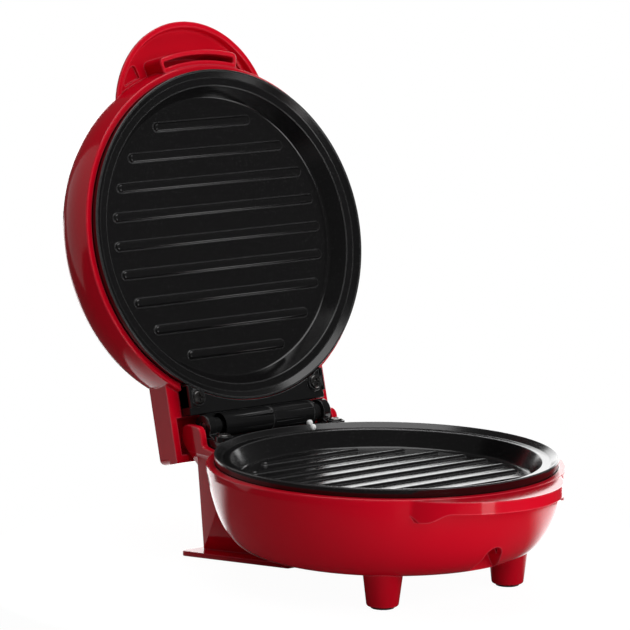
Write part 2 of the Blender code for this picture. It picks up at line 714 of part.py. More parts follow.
def make_element(name, frame, material):
    """A horseshoe of sheathed heater tube with a thin connecting pin at each end."""
    curve = bpy.data.curves.new(name, "CURVE")
    curve.dimensions = "3D"
    curve.bevel_depth = ELEMENT_TUBE
    curve.bevel_resolution = 1
    curve.use_fill_caps = True
    start = math.pi / 2 + (math.tau - ELEMENT_SWEEP) / 2
    height = FLOOR_UNDERSIDE - SEAT_GAP - ELEMENT_TUBE
    count = 2 * ARC_STEPS
    sweep = arc(ELEMENT_RADIUS, start, start + ELEMENT_SWEEP, steps=count)
    ends = []
    for point, side in ((sweep[0], -1), (sweep[-1], 1)):
        turn = math.atan2(point[1], point[0])
        along = Vector((-math.sin(turn), math.cos(turn))) * side
        shoulder = Vector(point) + along * SEAT_GAP
        tip = Vector(point) + along * ELEMENT_PIN_LENGTH
        ends.append(((shoulder.x, shoulder.y), (tip.x, tip.y)))
    path = [ends[0][1], ends[0][0]] + sweep + [ends[1][0], ends[1][1]]
    spline = curve.splines.new("POLY")
    spline.points.add(len(path) - 1)
    for index, (point, (x, y)) in enumerate(zip(spline.points, path)):
        point.co = (x, y, height, 1)
        is_pin = index < 2 or index > len(path) - 3
        point.radius = ELEMENT_PIN_SHARE if is_pin else 1.0
    element = add_object(name, curve, PARTS, frame)
    element.data.materials.append(material)
    return element


def make_shield(name, frame, material):
    """A pressed steel dish that keeps the heat under the plate."""
    lip = -SHIELD_RIM_DEPTH
    corners = [
        (0, SHIELD_TOP, 0),
        (SHIELD_FLOOR_RADIUS, SHIELD_TOP, SHIELD_FILLET),
        (SHIELD_RIM_RADIUS - SHIELD_METAL, lip, 0),
        (SHIELD_RIM_RADIUS, lip, 0),
        (SHIELD_FLOOR_RADIUS + SHIELD_METAL, SHIELD_UNDERSIDE, SHIELD_FILLET + SHIELD_METAL),
        (0, SHIELD_UNDERSIDE, 0),
    ]
    shield = turned(name, rounded(corners), PARTS, frame, PLATE_STEPS // 2)
    for index, (x, y) in enumerate(boss_places()):
        low = SHIELD_UNDERSIDE - OVERRUN
        high = SHIELD_TOP + OVERRUN
        hole = cylinder(f"{name}_hole_{index}", POST_HOLE_RADIUS, low, high, GUIDES, frame)
        hole.location = (x, y, 0)
        cut(shield, hole)
    paint(shield, material)
    return shield


def make_thermostat(name, frame, material):
    top = FLOOR_UNDERSIDE - SEAT_GAP
    profile = [
        (0, top),
        (THERMOSTAT_RADIUS, top),
        (THERMOSTAT_RADIUS, top - THERMOSTAT_BODY),
        (THERMOSTAT_CAP_RADIUS, top - THERMOSTAT_BODY),
        (THERMOSTAT_CAP_RADIUS, top - THERMOSTAT_HEIGHT),
        (0, top - THERMOSTAT_HEIGHT),
    ]
    thermostat = turned(name, profile, PARTS, frame)
    paint(thermostat, material)
    return thermostat


def screw_profile(head_radius, head_height, radius, length):
    """Head up, tip down, with the underside of the head at zero."""
    return rounded([
        (0, head_height, 0),
        (head_radius, head_height, head_height / 2),
        (head_radius, 0, 0),
        (radius, 0, 0),
        (radius, -length, 0),
        (0, -length - radius, 0),
    ])


def make_screw(name, place, length, frame, material, upside_down=False):
    """A cross-head screw whose head rests on place."""
    profile = screw_profile(SCREW_HEAD_RADIUS, SCREW_HEAD_HEIGHT, SCREW_RADIUS, length)
    screw = turned(name, profile, PARTS, frame, TINY_STEPS)
    slot_low = SCREW_HEAD_HEIGHT - DRIVE_SLOT_DEPTH
    slot_high = SCREW_HEAD_HEIGHT + OVERRUN
    long_half = SCREW_HEAD_RADIUS / 2
    thin_half = DRIVE_SLOT_WIDTH / 2
    for letter, x_half, y_half in (("a", long_half, thin_half), ("b", thin_half, long_half)):
        slot = block(f"{name}_slot_{letter}", (-x_half, -y_half, slot_low),
                     (x_half, y_half, slot_high), GUIDES, screw)
        cut(screw, slot)
    screw.location = place
    screw.rotation_euler.x = math.pi if upside_down else 0
    paint(screw, material)
    return screw


def shell_profile(outer, bottom):
    """Closed profile of a bowl: inner floor, inner wall, seat for the plate, rim, outer wall."""
    seat_underside = SEAT_TOP - SEAT_DEPTH
    inner = [point for point in inset(outer, SHELL_WALL) if point[1] < seat_underside]
    inner_top = inner[0][0]
    seat_inner = RIM_INNER_RADIUS - SEAT_WIDTH
    rim_outer = outer[0][0] - RIM_CHAMFER
    return (
        [(0, bottom + SHELL_WALL)]
        + list(reversed(inner))
        + [(inner_top, seat_underside), (seat_inner, seat_underside), (seat_inner, SEAT_TOP)]
        + [(RIM_INNER_RADIUS, SEAT_TOP), (RIM_INNER_RADIUS, RIM_TOP), (rim_outer, RIM_TOP)]
        + outer
        + [(0, bottom)]
    )


def core_profile(outer, bottom):
    """The space inside the middle of a bowl's wall, left clear by what is joined to it outside."""
    middle = inset(outer, SHELL_WALL / 2)
    roof = OVERRUN
    return [(0, roof), (middle[0][0], roof)] + middle + [(0, bottom + SHELL_WALL / 2)]


def bowl_curve():
    return bezier([
        (BOWL_RIM_RADIUS, BOWL_RIM_HEIGHT),
        (BOWL_RIM_RADIUS - BOWL_RIM_DRAFT, BOWL_RIM_HEIGHT - BOWL_RIM_REACH),
        (BOWL_FLAT_RADIUS + BOWL_FLAT_REACH, BOWL_BOTTOM),
        (BOWL_FLAT_RADIUS, BOWL_BOTTOM),
    ])


def dome_curve():
    return bezier([
        (DOME_RIM_RADIUS, DOME_RIM_HEIGHT),
        (DOME_RIM_RADIUS - DOME_RIM_DRAFT, DOME_RIM_HEIGHT - DOME_RIM_REACH),
        (DOME_FLAT_RADIUS + DOME_FLAT_REACH, DOME_TOP),
        (DOME_FLAT_RADIUS, DOME_TOP),
    ])


def ring_sector(inner, outer, half_width, corner, middle):
    """Part of a ring about the origin, centred on the angle middle, with round outer corners."""
    half_angle = math.asin(half_width / outer)
    corner_angle = corner / outer
    edge = []
    for step in range(FILLET_STEPS + 1):
        t = math.pi / 2 * step / FILLET_STEPS
        turn = half_angle - corner_angle * (1 - math.sin(t))
        edge.append((turn, outer - corner * (1 - math.cos(t))))
    steps = ARC_STEPS
    sweep_half = half_angle - corner_angle
    sweep = [(sweep_half - 2 * sweep_half * s / steps, outer) for s in range(1, steps)]
    left = [(turn, radius) for turn, radius in reversed(edge)]
    right = [(-turn, radius) for turn, radius in edge]
    inside = [(-half_angle + 2 * half_angle * s / steps, inner) for s in range(steps + 1)]
    spokes = left + sweep + right + inside
    return [(r * math.cos(middle + t), r * math.sin(middle + t)) for t, r in spokes]


def make_thumb_ledge(frame):
    """A bowed lip along the front rim, with a lobe under each end and room for a finger between."""
    half = THUMB_LEDGE_HALF_WIDTH
    low = THUMB_LEDGE_TOP - THUMB_LEDGE_END_HEIGHT
    middle = THUMB_LEDGE_TOP - THUMB_LEDGE_MID_HEIGHT
    front = math.asin(half / THUMB_LEDGE_RADIUS)
    inner = BOWL_RIM_RADIUS - SHELL_WALL * THUMB_LEDGE_ROOT_SHARE
    back = math.asin(half / inner)
    down = -math.pi / 2
    outer_edge = arc(THUMB_LEDGE_RADIUS, down - front, down + front, (0, THUMB_LEDGE_CENTRE_Y),
                     2 * ARC_STEPS)
    inner_edge = arc(inner, down + back, down - back)
    ledge = prism("thumb_ledge", outer_edge + inner_edge, low, THUMB_LEDGE_TOP, GUIDES, frame)
    lobe = bezier([
        (half, low),
        (half - THUMB_LEDGE_SWEEP / 2, low),
        (half - THUMB_LEDGE_SWEEP / 2, middle),
        (half - THUMB_LEDGE_SWEEP, middle),
    ])
    mirrored = [(-x, z) for x, z in reversed(lobe)]
    side = half + OVERRUN
    foot = low - OVERRUN
    outline = lobe + mirrored + [(-side, low), (-side, foot), (side, foot), (side, low)]
    reach = THUMB_LEDGE_RADIUS - THUMB_LEDGE_CENTRE_Y + OVERRUN
    room = prism("finger_room", outline, -reach, 0, GUIDES, frame, "Y")
    cut(ledge, room)
    bevel(ledge, THUMB_LEDGE_EDGE, 1, CORNER_BEVEL_ANGLE)
    return ledge


def make_notch(frame):
    """A pocket with an arched mouth in the front wall, and the walls that line it."""
    outer_y = -BOWL_RIM_RADIUS - OVERRUN
    back_y = outer_y + OVERRUN + NOTCH_LENGTH
    wide = NOTCH_FOOT_HALF + NOTCH_LINING
    wall_y = -BOWL_FLAT_RADIUS
    spring = NOTCH_TOP - NOTCH_HALF_WIDTH
    foot = BOWL_BOTTOM - OVERRUN
    arch = arc(NOTCH_HALF_WIDTH, 0, math.pi, (0, spring))
    legs = [(-NOTCH_FOOT_HALF, BOWL_BOTTOM), (-NOTCH_FOOT_HALF, foot), (NOTCH_FOOT_HALF, foot),
            (NOTCH_FOOT_HALF, BOWL_BOTTOM)]
    mouth = prism("notch_mouth", arch + legs, outer_y, back_y, GUIDES, frame, "Y")
    floor = BOWL_BOTTOM + SHELL_WALL / 2
    lining = block("notch_lining", (-wide, wall_y - OVERRUN * 2, floor),
                   (wide, back_y + NOTCH_LINING, NOTCH_TOP + NOTCH_LINING), GUIDES, frame)
    trim = turned("notch_trim", core_profile(bowl_curve(), BOWL_BOTTOM), GUIDES, frame, SHELL_STEPS)
    boolean(lining, trim, "INTERSECT")
    return lining, mouth


def make_front_feet(frame):
    feet = []
    recesses = []
    foot_bottom = FLOOR_LEVEL + FOOT_PAD_SHOW
    for index, side in enumerate((-1, 1)):
        corners = [
            (0, BOWL_BOTTOM + SHELL_WALL / 2, 0),
            (FRONT_FOOT_TOP_RADIUS, BOWL_BOTTOM + SHELL_WALL / 2, 0),
            (FRONT_FOOT_RADIUS, foot_bottom, FRONT_FOOT_ROUND),
            (0, foot_bottom, 0),
        ]
        foot = turned(f"front_foot_{index}", rounded(corners), GUIDES, frame)
        foot.location = (side * FRONT_FOOT_X, FRONT_FOOT_Y, 0)
        recess = cylinder(f"pad_recess_{index}", FOOT_PAD_RADIUS + SEAT_GAP, foot_bottom - OVERRUN,
                          foot_bottom + FOOT_PAD_RECESS, GUIDES, frame)
        recess.location = foot.location
        feet.append(foot)
        recesses.append(recess)
    return feet, recesses


def make_foot_pad(name, side, frame, material):
    """A soft disc pressed into the end of a front foot."""
    top = FLOOR_LEVEL + FOOT_PAD_SHOW + FOOT_PAD_RECESS - SEAT_GAP
    edge = FOOT_PAD_SHOW / 3
    corners = [
        (0, top, 0),
        (FOOT_PAD_RADIUS, top, 0),
        (FOOT_PAD_RADIUS, FLOOR_LEVEL, edge),
        (0, FLOOR_LEVEL, 0),
    ]
    pad = turned(name, rounded(corners), PARTS, frame)
    pad.location = (side * FRONT_FOOT_X, FRONT_FOOT_Y, 0)
    paint(pad, material)
    return pad


def make_stand(frame):
    """The column behind the bowl: wide at the back, drawn in towards the front and the foot."""
    foot_top = FLOOR_LEVEL + FOOT_PLATE_THICKNESS / 4
    column = block("stand_column", (-1, 0, foot_top), (1, 1, STAND_TOP), GUIDES, frame)
    for corner in column.data.vertices:
        at_top = corner.co.z > (STAND_TOP + foot_top) / 2
        at_rear = corner.co.y > 0
        if at_top:
            half = STAND_REAR_TOP_HALF if at_rear else STAND_FRONT_TOP_HALF
            corner.co.y = STAND_REAR_TOP_Y if at_rear else STAND_FRONT_TOP_Y
        else:
            half = STAND_REAR_BOTTOM_HALF if at_rear else STAND_FRONT_BOTTOM_HALF
            corner.co.y = STAND_REAR_BOTTOM_Y if at_rear else STAND_FRONT_BOTTOM_Y
        corner.co.x = math.copysign(half, corner.co.x)
    bevel(column, STAND_EDGE)
    column.modifiers.new("flat_faces", "TRIANGULATE")
    core = turned("bowl_core", core_profile(bowl_curve(), BOWL_BOTTOM), GUIDES, frame, SHELL_STEPS)
    cut(column, core)
    outline = rounded([
        (FOOT_PLATE_REAR_HALF, FOOT_PLATE_REAR_Y, FOOT_PLATE_CORNER),
        (-FOOT_PLATE_REAR_HALF, FOOT_PLATE_REAR_Y, FOOT_PLATE_CORNER),
        (-FOOT_PLATE_FRONT_HALF, FOOT_PLATE_FRONT_Y, FOOT_PLATE_CORNER),
        (FOOT_PLATE_FRONT_HALF, FOOT_PLATE_FRONT_Y, FOOT_PLATE_CORNER),
    ], closed=True)
    plate = prism("foot_plate", outline, FLOOR_LEVEL, FLOOR_LEVEL + FOOT_PLATE_THICKNESS, GUIDES,
                  frame)
    return column, plate


def make_ears(frame):
    """Two ears beside the hinge, each drawn in below so that it runs into the stand."""
    outline = rounded([
        (EAR_FOOT_Y, EAR_FOOT_Z, 0),
        (EAR_FRONT_Y - EAR_ROUND / 2, EAR_FOOT_Z + EAR_ROUND / 3, EAR_ROUND / 2),
        (EAR_FRONT_Y, EAR_TOP, EAR_ROUND),
        (EAR_REAR_Y, EAR_TOP, EAR_ROUND),
        (EAR_REAR_Y, EAR_HEEL_Z / 2, EAR_ROUND),
        (EAR_HEEL_Y, EAR_HEEL_Z, EAR_ROUND),
        (STAND_REAR_TOP_Y, EAR_BOTTOM_Z, 0),
        (EAR_FOOT_Y, EAR_BOTTOM_Z, 0),
    ], closed=True)
    ears = []
    for index, side in enumerate((-1, 1)):
        low, high = sorted((side * EAR_INNER_X, side * EAR_OUTER_X))
        ear = prism(f"ear_{index}", outline, low, high, GUIDES, frame, "X")
        bevel(ear, COVER_EDGE, 1, CORNER_BEVEL_ANGLE)
        slope = [
            (side * (EAR_OUTER_X + OVERRUN), EAR_SLOPE_Z + OVERRUN / EAR_SLOPE),
            (side * (EAR_OUTER_X - EAR_SLOPE_IN - OVERRUN), EAR_BOTTOM_Z - OVERRUN / EAR_SLOPE),
            (side * (EAR_OUTER_X + OVERRUN), EAR_BOTTOM_Z - OVERRUN / EAR_SLOPE),
        ]
        cut(ear, prism(f"ear_slope_{index}", slope[::-side], EAR_FOOT_Y - OVERRUN,
                       EAR_REAR_Y + OVERRUN, GUIDES, frame, "Y"))
        ears.append(ear)
    return ears


def make_base_housing(frame, material):
    """Bowl, ledge, notch, feet, stand and ears, moulded in one piece."""
    housing = turned("base_housing", shell_profile(bowl_curve(), BOWL_BOTTOM), PARTS, frame,
                     SHELL_STEPS)
    column, foot_plate = make_stand(frame)
    feet, recesses = make_front_feet(frame)
    lining, mouth = make_notch(frame)
    ledge = make_thumb_ledge(frame)
    ears = make_ears(frame)
    unite(housing, column, foot_plate, ledge, lining, *feet, *ears)
    shelf_half = EAR_INNER_X + EAR_RELIEF
    shelf = block("hinge_shelf_room", (-shelf_half, STAND_FRONT_BOTTOM_HALF, STAND_TOP),
                  (shelf_half, EAR_REAR_Y + OVERRUN, EAR_TOP + OVERRUN), GUIDES, frame)
    cut(housing, mouth, shelf, *recesses)
    for index, (x, y) in enumerate(boss_places()):
        post_low = BOWL_BOTTOM + SHELL_WALL / 2
        post = cylinder(f"post_{index}", POST_RADIUS, post_low, SHIELD_UNDERSIDE - SEAT_GAP, GUIDES,
                        frame, steps=TINY_STEPS)
        post.location = (x, y, 0)
        hole = cylinder(f"post_hole_{index}", POST_HOLE_RADIUS, COUNTERBORE_TOP - OVERRUN, OVERRUN,
                        GUIDES, frame, steps=TINY_STEPS)
        hole.location = (x, y, 0)
        bore = cylinder(f"post_bore_{index}", COUNTERBORE_RADIUS, BOWL_BOTTOM - OVERRUN,
                        COUNTERBORE_TOP, GUIDES, frame, steps=TINY_STEPS)
        bore.location = (x, y, 0)
        for round_piece in (post, hole, bore):
            round_piece.rotation_euler.z = POST_TURN
        unite(housing, post)
        cut(housing, hole, bore)
    for index, side in enumerate((-1, 1)):
        low = STAND_TOP - COVER_SCREW_LENGTH
        pilot = cylinder(f"cover_pilot_{index}", SCREW_HOLE_RADIUS, low, STAND_TOP + OVERRUN,
                         GUIDES, frame)
        pilot.location = (side * BASE_BOSS_X, BASE_BOSS_Y, 0)
        cut(housing, pilot)
    cable_way = cylinder("cable_way", GLAND_SLEEVE_RADIUS + SEAT_GAP, -STAND_REAR_BOTTOM_Y - OVERRUN,
                         -STAND_FRONT_TOP_Y, GUIDES, frame)
    cable_way.rotation_euler = (math.pi / 2, 0, 0)
    cable_way.location = (0, 0, GLAND_HEIGHT)
    cut(housing, cable_way)
    paint(housing, material)
    return housing


def lug_outline(foot_front, foot_rear, foot_height, centre, radius):
    """A round end about the hinge axis that runs straight down to a foot."""
    cap = arc(radius, -KNUCKLE_CUT_ANGLE, math.pi + KNUCKLE_CUT_ANGLE, centre, ARC_STEPS)
    return cap + [(foot_front, foot_height), (foot_rear, foot_height)]


def make_base_hinge_cover(frame, material):
    """Black cover behind the plate, with a knuckle at each end and two screw bosses."""
    bottom = STAND_TOP + SEAT_GAP
    cover = block("base_hinge_cover", (-BASE_COVER_HALF_WIDTH, STAND_FRONT_TOP_Y, bottom),
                  (BASE_COVER_HALF_WIDTH, BASE_COVER_REAR_Y, BASE_COVER_TOP), PARTS, frame)
    bevel(cover, COVER_EDGE)
    for index, side in enumerate((-1, 1)):
        low, high = sorted((side * KNUCKLE_INNER_X, side * KNUCKLE_OUTER_X))
        outline = lug_outline(HINGE_Y - 2 * KNUCKLE_RADIUS, BASE_COVER_REAR_Y - COVER_EDGE,
                              BASE_COVER_TOP - COVER_EDGE * 2, (HINGE_Y, HINGE_Z), KNUCKLE_RADIUS)
        knuckle = prism(f"base_knuckle_{index}", outline, low, high, GUIDES, frame, "X")
        boss = cylinder(f"base_cover_boss_{index}", COVER_BOSS_RADIUS, BASE_COVER_TOP - COVER_EDGE,
                        BASE_BOSS_TOP, GUIDES, frame)
        boss.location = (side * BASE_BOSS_X, BASE_BOSS_Y, 0)
        unite(cover, knuckle, boss)
    sink = BASE_BOSS_TOP - COVER_BOSS_RECESS_DEPTH
    for index, side in enumerate((-1, 1)):
        recess = cylinder(f"base_cover_recess_{index}", COVER_BOSS_RECESS_RADIUS, sink,
                          BASE_BOSS_TOP + OVERRUN, GUIDES, frame)
        hole = cylinder(f"base_cover_hole_{index}", SCREW_HOLE_RADIUS, bottom - OVERRUN,
                        BASE_BOSS_TOP, GUIDES, frame)
        recess.location = (side * BASE_BOSS_X, BASE_BOSS_Y, 0)
        hole.location = recess.location
        cut(cover, recess, hole)
    plate_room = cylinder("base_cover_plate_room", COVER_FRONT_RADIUS, bottom - OVERRUN,
                          BASE_BOSS_TOP + OVERRUN, GUIDES, frame, steps=SHELL_STEPS)
    barrel_room = cylinder("base_cover_barrel_room", BARREL_RADIUS + COLLAR_HEIGHT + RUNNING_GAP,
                           -KNUCKLE_INNER_X, KNUCKLE_INNER_X, GUIDES, frame, steps=SMALL_STEPS * 2)
    pin_room = cylinder("base_cover_pin_room", PIN_RADIUS + PIN_FIT, -KNUCKLE_OUTER_X - OVERRUN,
                        KNUCKLE_OUTER_X + OVERRUN, GUIDES, frame)
    for room in (barrel_room, pin_room):
        room.rotation_euler = (0, math.pi / 2, 0)
        room.location = (0, HINGE_Y, HINGE_Z)
    cut(cover, plate_room, barrel_room, pin_room)
    paint(cover, material)
    return cover


def make_pin(name, side, frame, material):
    """A steel pin held in a base knuckle, with its inner end in the lid's barrel."""
    low, high = sorted((side * PIN_OUTER_X, side * PIN_INNER_X))
    pin = cylinder(name, PIN_RADIUS, low, high, PARTS, frame)
    pin.rotation_euler = (0, math.pi / 2, 0)
    pin.location = (0, HINGE_Y, HINGE_Z)
    paint(pin, material)
    return pin


def make_terminal_block(frame, material):
    """Ceramic block on the bowl's floor, stepped down at both long sides."""
    low = BOWL_BOTTOM + SHELL_WALL + SEAT_GAP
    high = low + TERMINAL_HEIGHT
    half = TERMINAL_WIDTH / 2
    step = TERMINAL_STEP
    outline = [
        (TERMINAL_Y - half, low),
        (TERMINAL_Y + half, low),
        (TERMINAL_Y + half, high - step),
        (TERMINAL_Y + half - step, high - step),
        (TERMINAL_Y + half - step, high),
        (TERMINAL_Y - half + step, high),
        (TERMINAL_Y - half + step, high - step),
        (TERMINAL_Y - half, high - step),
    ]
    made = prism("terminal_block", outline, -TERMINAL_LENGTH / 2, TERMINAL_LENGTH / 2, PARTS, frame,
                 "X")
    paint(made, material)
    return made


def make_cord_gland(frame, material):
    """A flanged bush that lines the way for the cable through the back of the stand."""
    flange_face = GLAND_FLANGE
    profile = [
        (GLAND_BORE_RADIUS, flange_face),
        (GLAND_FLANGE_RADIUS, flange_face),
        (GLAND_FLANGE_RADIUS, 0),
        (GLAND_SLEEVE_RADIUS, 0),
        (GLAND_SLEEVE_RADIUS, -GLAND_LENGTH),
        (GLAND_BORE_RADIUS, -GLAND_LENGTH),
        (GLAND_BORE_RADIUS, flange_face),
    ]
    gland = turned("cord_gland", profile, PARTS, frame)
    fall = (GLAND_HEIGHT - STAND_TOP) / (FLOOR_LEVEL - STAND_TOP)
    face_y = STAND_REAR_TOP_Y + (STAND_REAR_BOTTOM_Y - STAND_REAR_TOP_Y) * fall
    gland.rotation_euler = (-math.pi / 2, 0, 0)
    gland.location = (0, face_y + 2 * SEAT_GAP, GLAND_HEIGHT)
    paint(gland, material)
    return gland


def make_fuse(frame, material):
    fuse = cylinder("thermal_fuse", FUSE_RADIUS, -FUSE_LENGTH / 2, FUSE_LENGTH / 2, PARTS, frame,
                    steps=TINY_STEPS)
    fuse.rotation_euler = (0, math.pi / 2, 0)
    fuse.location = (0, FUSE_CIRCLE, FLOOR_UNDERSIDE - SEAT_GAP - FUSE_RADIUS)
    paint(fuse, material)
    return fuse


def make_bumper(frame, material):
    """Two small joined beads, one over the other, on the rear ledge of the plate."""
    mesh = bpy.data.meshes.new("silicone_bumper")
    bead = bmesh.new()
    bmesh.ops.create_icosphere(bead, subdivisions=2, radius=BUMPER_BEAD_RADIUS)
    bead.to_mesh(mesh)
    shade(mesh)
    bumper = add_object("silicone_bumper", mesh, PARTS, frame)
    tail = add_object("bumper_tail", mesh.copy(), GUIDES, frame)
    bead.free()
    low = BUMPER_BEAD_RADIUS + SEAT_GAP - LEDGE_DEPTH
    places = []
    for radius, height in ((BUMPER_HEAD_RADIUS, low + BUMPER_RISE), (BUMPER_TAIL_RADIUS, low)):
        places.append((BUMPER_X, math.sqrt(radius**2 - BUMPER_X**2), height))
    bumper.location = places[0]
    tail.location = places[1]
    unite(bumper, tail)
    paint(bumper, material)
    return bumper


def make_handle(frame):
    """A half-round tab, hollow on the plate's side, with a raised slot along the dome."""
    centre = (0, HANDLE_CENTRE_V)
    full = math.tau
    round_outline = arc(HANDLE_RADIUS, 0, full, centre, SHELL_STEPS)[:-1]
    tab = prism("handle_tab", round_outline, HANDLE_BACK, HANDLE_FACE, GUIDES, frame)
    bevel(tab, HANDLE_EDGE, 1, CORNER_BEVEL_ANGLE)
    hollow = prism("handle_hollow", arc(HANDLE_HOLLOW_RADIUS, 0, full, centre, SHELL_STEPS)[:-1],
                   HANDLE_BACK + HANDLE_PANEL, HANDLE_FACE + OVERRUN, GUIDES, frame)
    core = turned("handle_core", core_profile(dome_curve(), DOME_TOP), GUIDES, frame, SHELL_STEPS)
    loop = prism("handle_loop", ring_sector(LOOP_INNER_RADIUS, LOOP_OUTER_RADIUS, LOOP_HALF_WIDTH,
                                            LOOP_CORNER, math.pi / 2),
                 HANDLE_BACK + HANDLE_PANEL / 2, LOOP_TOP, GUIDES, frame)
    slot = prism("handle_slot", ring_sector(LOOP_SLOT_INNER_RADIUS, LOOP_SLOT_OUTER_RADIUS,
                                            LOOP_SLOT_HALF_WIDTH, LOOP_CORNER / 2, math.pi / 2),
                 HANDLE_BACK + HANDLE_SKIN, LOOP_TOP + OVERRUN, GUIDES, frame)
    limit = prism("pocket_limit", arc(POCKET_LIMIT_RADIUS, 0, full, centre, SHELL_STEPS)[:-1],
                  HANDLE_BACK, LOOP_TOP + OVERRUN * 2, GUIDES, frame)
    openings = [slot]
    for index, side in enumerate((-1, 1)):
        outline = ring_sector(POCKET_INNER_RADIUS, POCKET_OUTER_RADIUS, POCKET_HALF_WIDTH,
                              POCKET_CORNER, math.pi / 2 + side * POCKET_TURN)
        pocket = prism(f"handle_pocket_{index}", outline, HANDLE_BACK + HANDLE_SKIN,
                       LOOP_TOP + OVERRUN, GUIDES, frame)
        boolean(pocket, limit, "INTERSECT")
        openings.append(pocket)
    cut(tab, hollow, core)
    return tab, loop, openings


def make_skirt(frame):
    skirt = block("skirt_box", (-SKIRT_HALF_WIDTH, -SKIRT_REACH, SKIRT_BACK),
                  (SKIRT_HALF_WIDTH, -SKIRT_START, SKIRT_MOUTH), GUIDES, frame)
    bevel(skirt, SKIRT_ROUND, 3)
    mouth_cut = block("skirt_mouth", (-SKIRT_HALF_WIDTH - OVERRUN, -SKIRT_REACH - OVERRUN,
                                      SKIRT_MOUTH - SKIRT_ROUND),
                      (SKIRT_HALF_WIDTH + OVERRUN, OVERRUN, OVERRUN), GUIDES, frame)
    band = block("skirt_band", (-SKIRT_HALF_WIDTH, -SKIRT_REACH, SKIRT_MOUTH - SKIRT_ROUND * 2),
                 (SKIRT_HALF_WIDTH, -SKIRT_START, SKIRT_MOUTH), GUIDES, frame)
    core = turned("skirt_core", core_profile(dome_curve(), DOME_TOP), GUIDES, frame, SHELL_STEPS)
    cut(skirt, mouth_cut)
    unite(skirt, band)
    cut(skirt, core)
    inner_half = SKIRT_HALF_WIDTH - SKIRT_WALL
    room = block("skirt_room", (-inner_half, -SKIRT_REACH + SKIRT_WALL, SKIRT_BACK + SKIRT_WALL),
                 (inner_half, -DOME_RIM_RADIUS, OVERRUN), GUIDES, frame)
    return skirt, room


def make_lid_cover(frame, material):
    """Dome, rim, skirt and handle of the lid, moulded in one piece."""
    cover = turned("lid_cover", shell_profile(dome_curve(), DOME_TOP), PARTS, frame, SHELL_STEPS)
    skirt, skirt_room = make_skirt(frame)
    tab, loop, openings = make_handle(frame)
    unite(cover, skirt, tab, loop)
    cut(cover, skirt_room, *openings)
    pilots = []
    for index, side in enumerate((-1, 1)):
        low = LID_COVER_BACK - COVER_SCREW_LENGTH - SCREW_RADIUS
        post = cylinder(f"lid_screw_post_{index}", POST_RADIUS, low, LID_COVER_FACE, GUIDES, frame)
        pilot = cylinder(f"lid_pilot_{index}", SCREW_HOLE_RADIUS, low + SCREW_RADIUS, OVERRUN,
                         GUIDES, frame)
        post.location = (side * LID_BOSS_X, LID_BOSS_V, 0)
        pilot.location = post.location
        unite(cover, post)
        pilots.append(pilot)
    cover_half = LID_COVER_HALF_WIDTH + SEAT_GAP
    hinge_room = block("lid_hinge_cover_room", (-cover_half, -SKIRT_REACH + SKIRT_WALL,
                                                LID_COVER_BACK - SEAT_GAP),
                       (cover_half, -STAND_FRONT_BOTTOM_HALF, OVERRUN), GUIDES, frame)
    cut(cover, hinge_room, *pilots)
    window = cylinder("lens_window", LENS_RADIUS + SEAT_GAP, DOME_TOP - OVERRUN,
                      DOME_TOP + SHELL_WALL + OVERRUN, GUIDES, frame)
    window.location = (0, LENS_V, 0)
    cut(cover, window)
    paint(cover, material)
    return cover


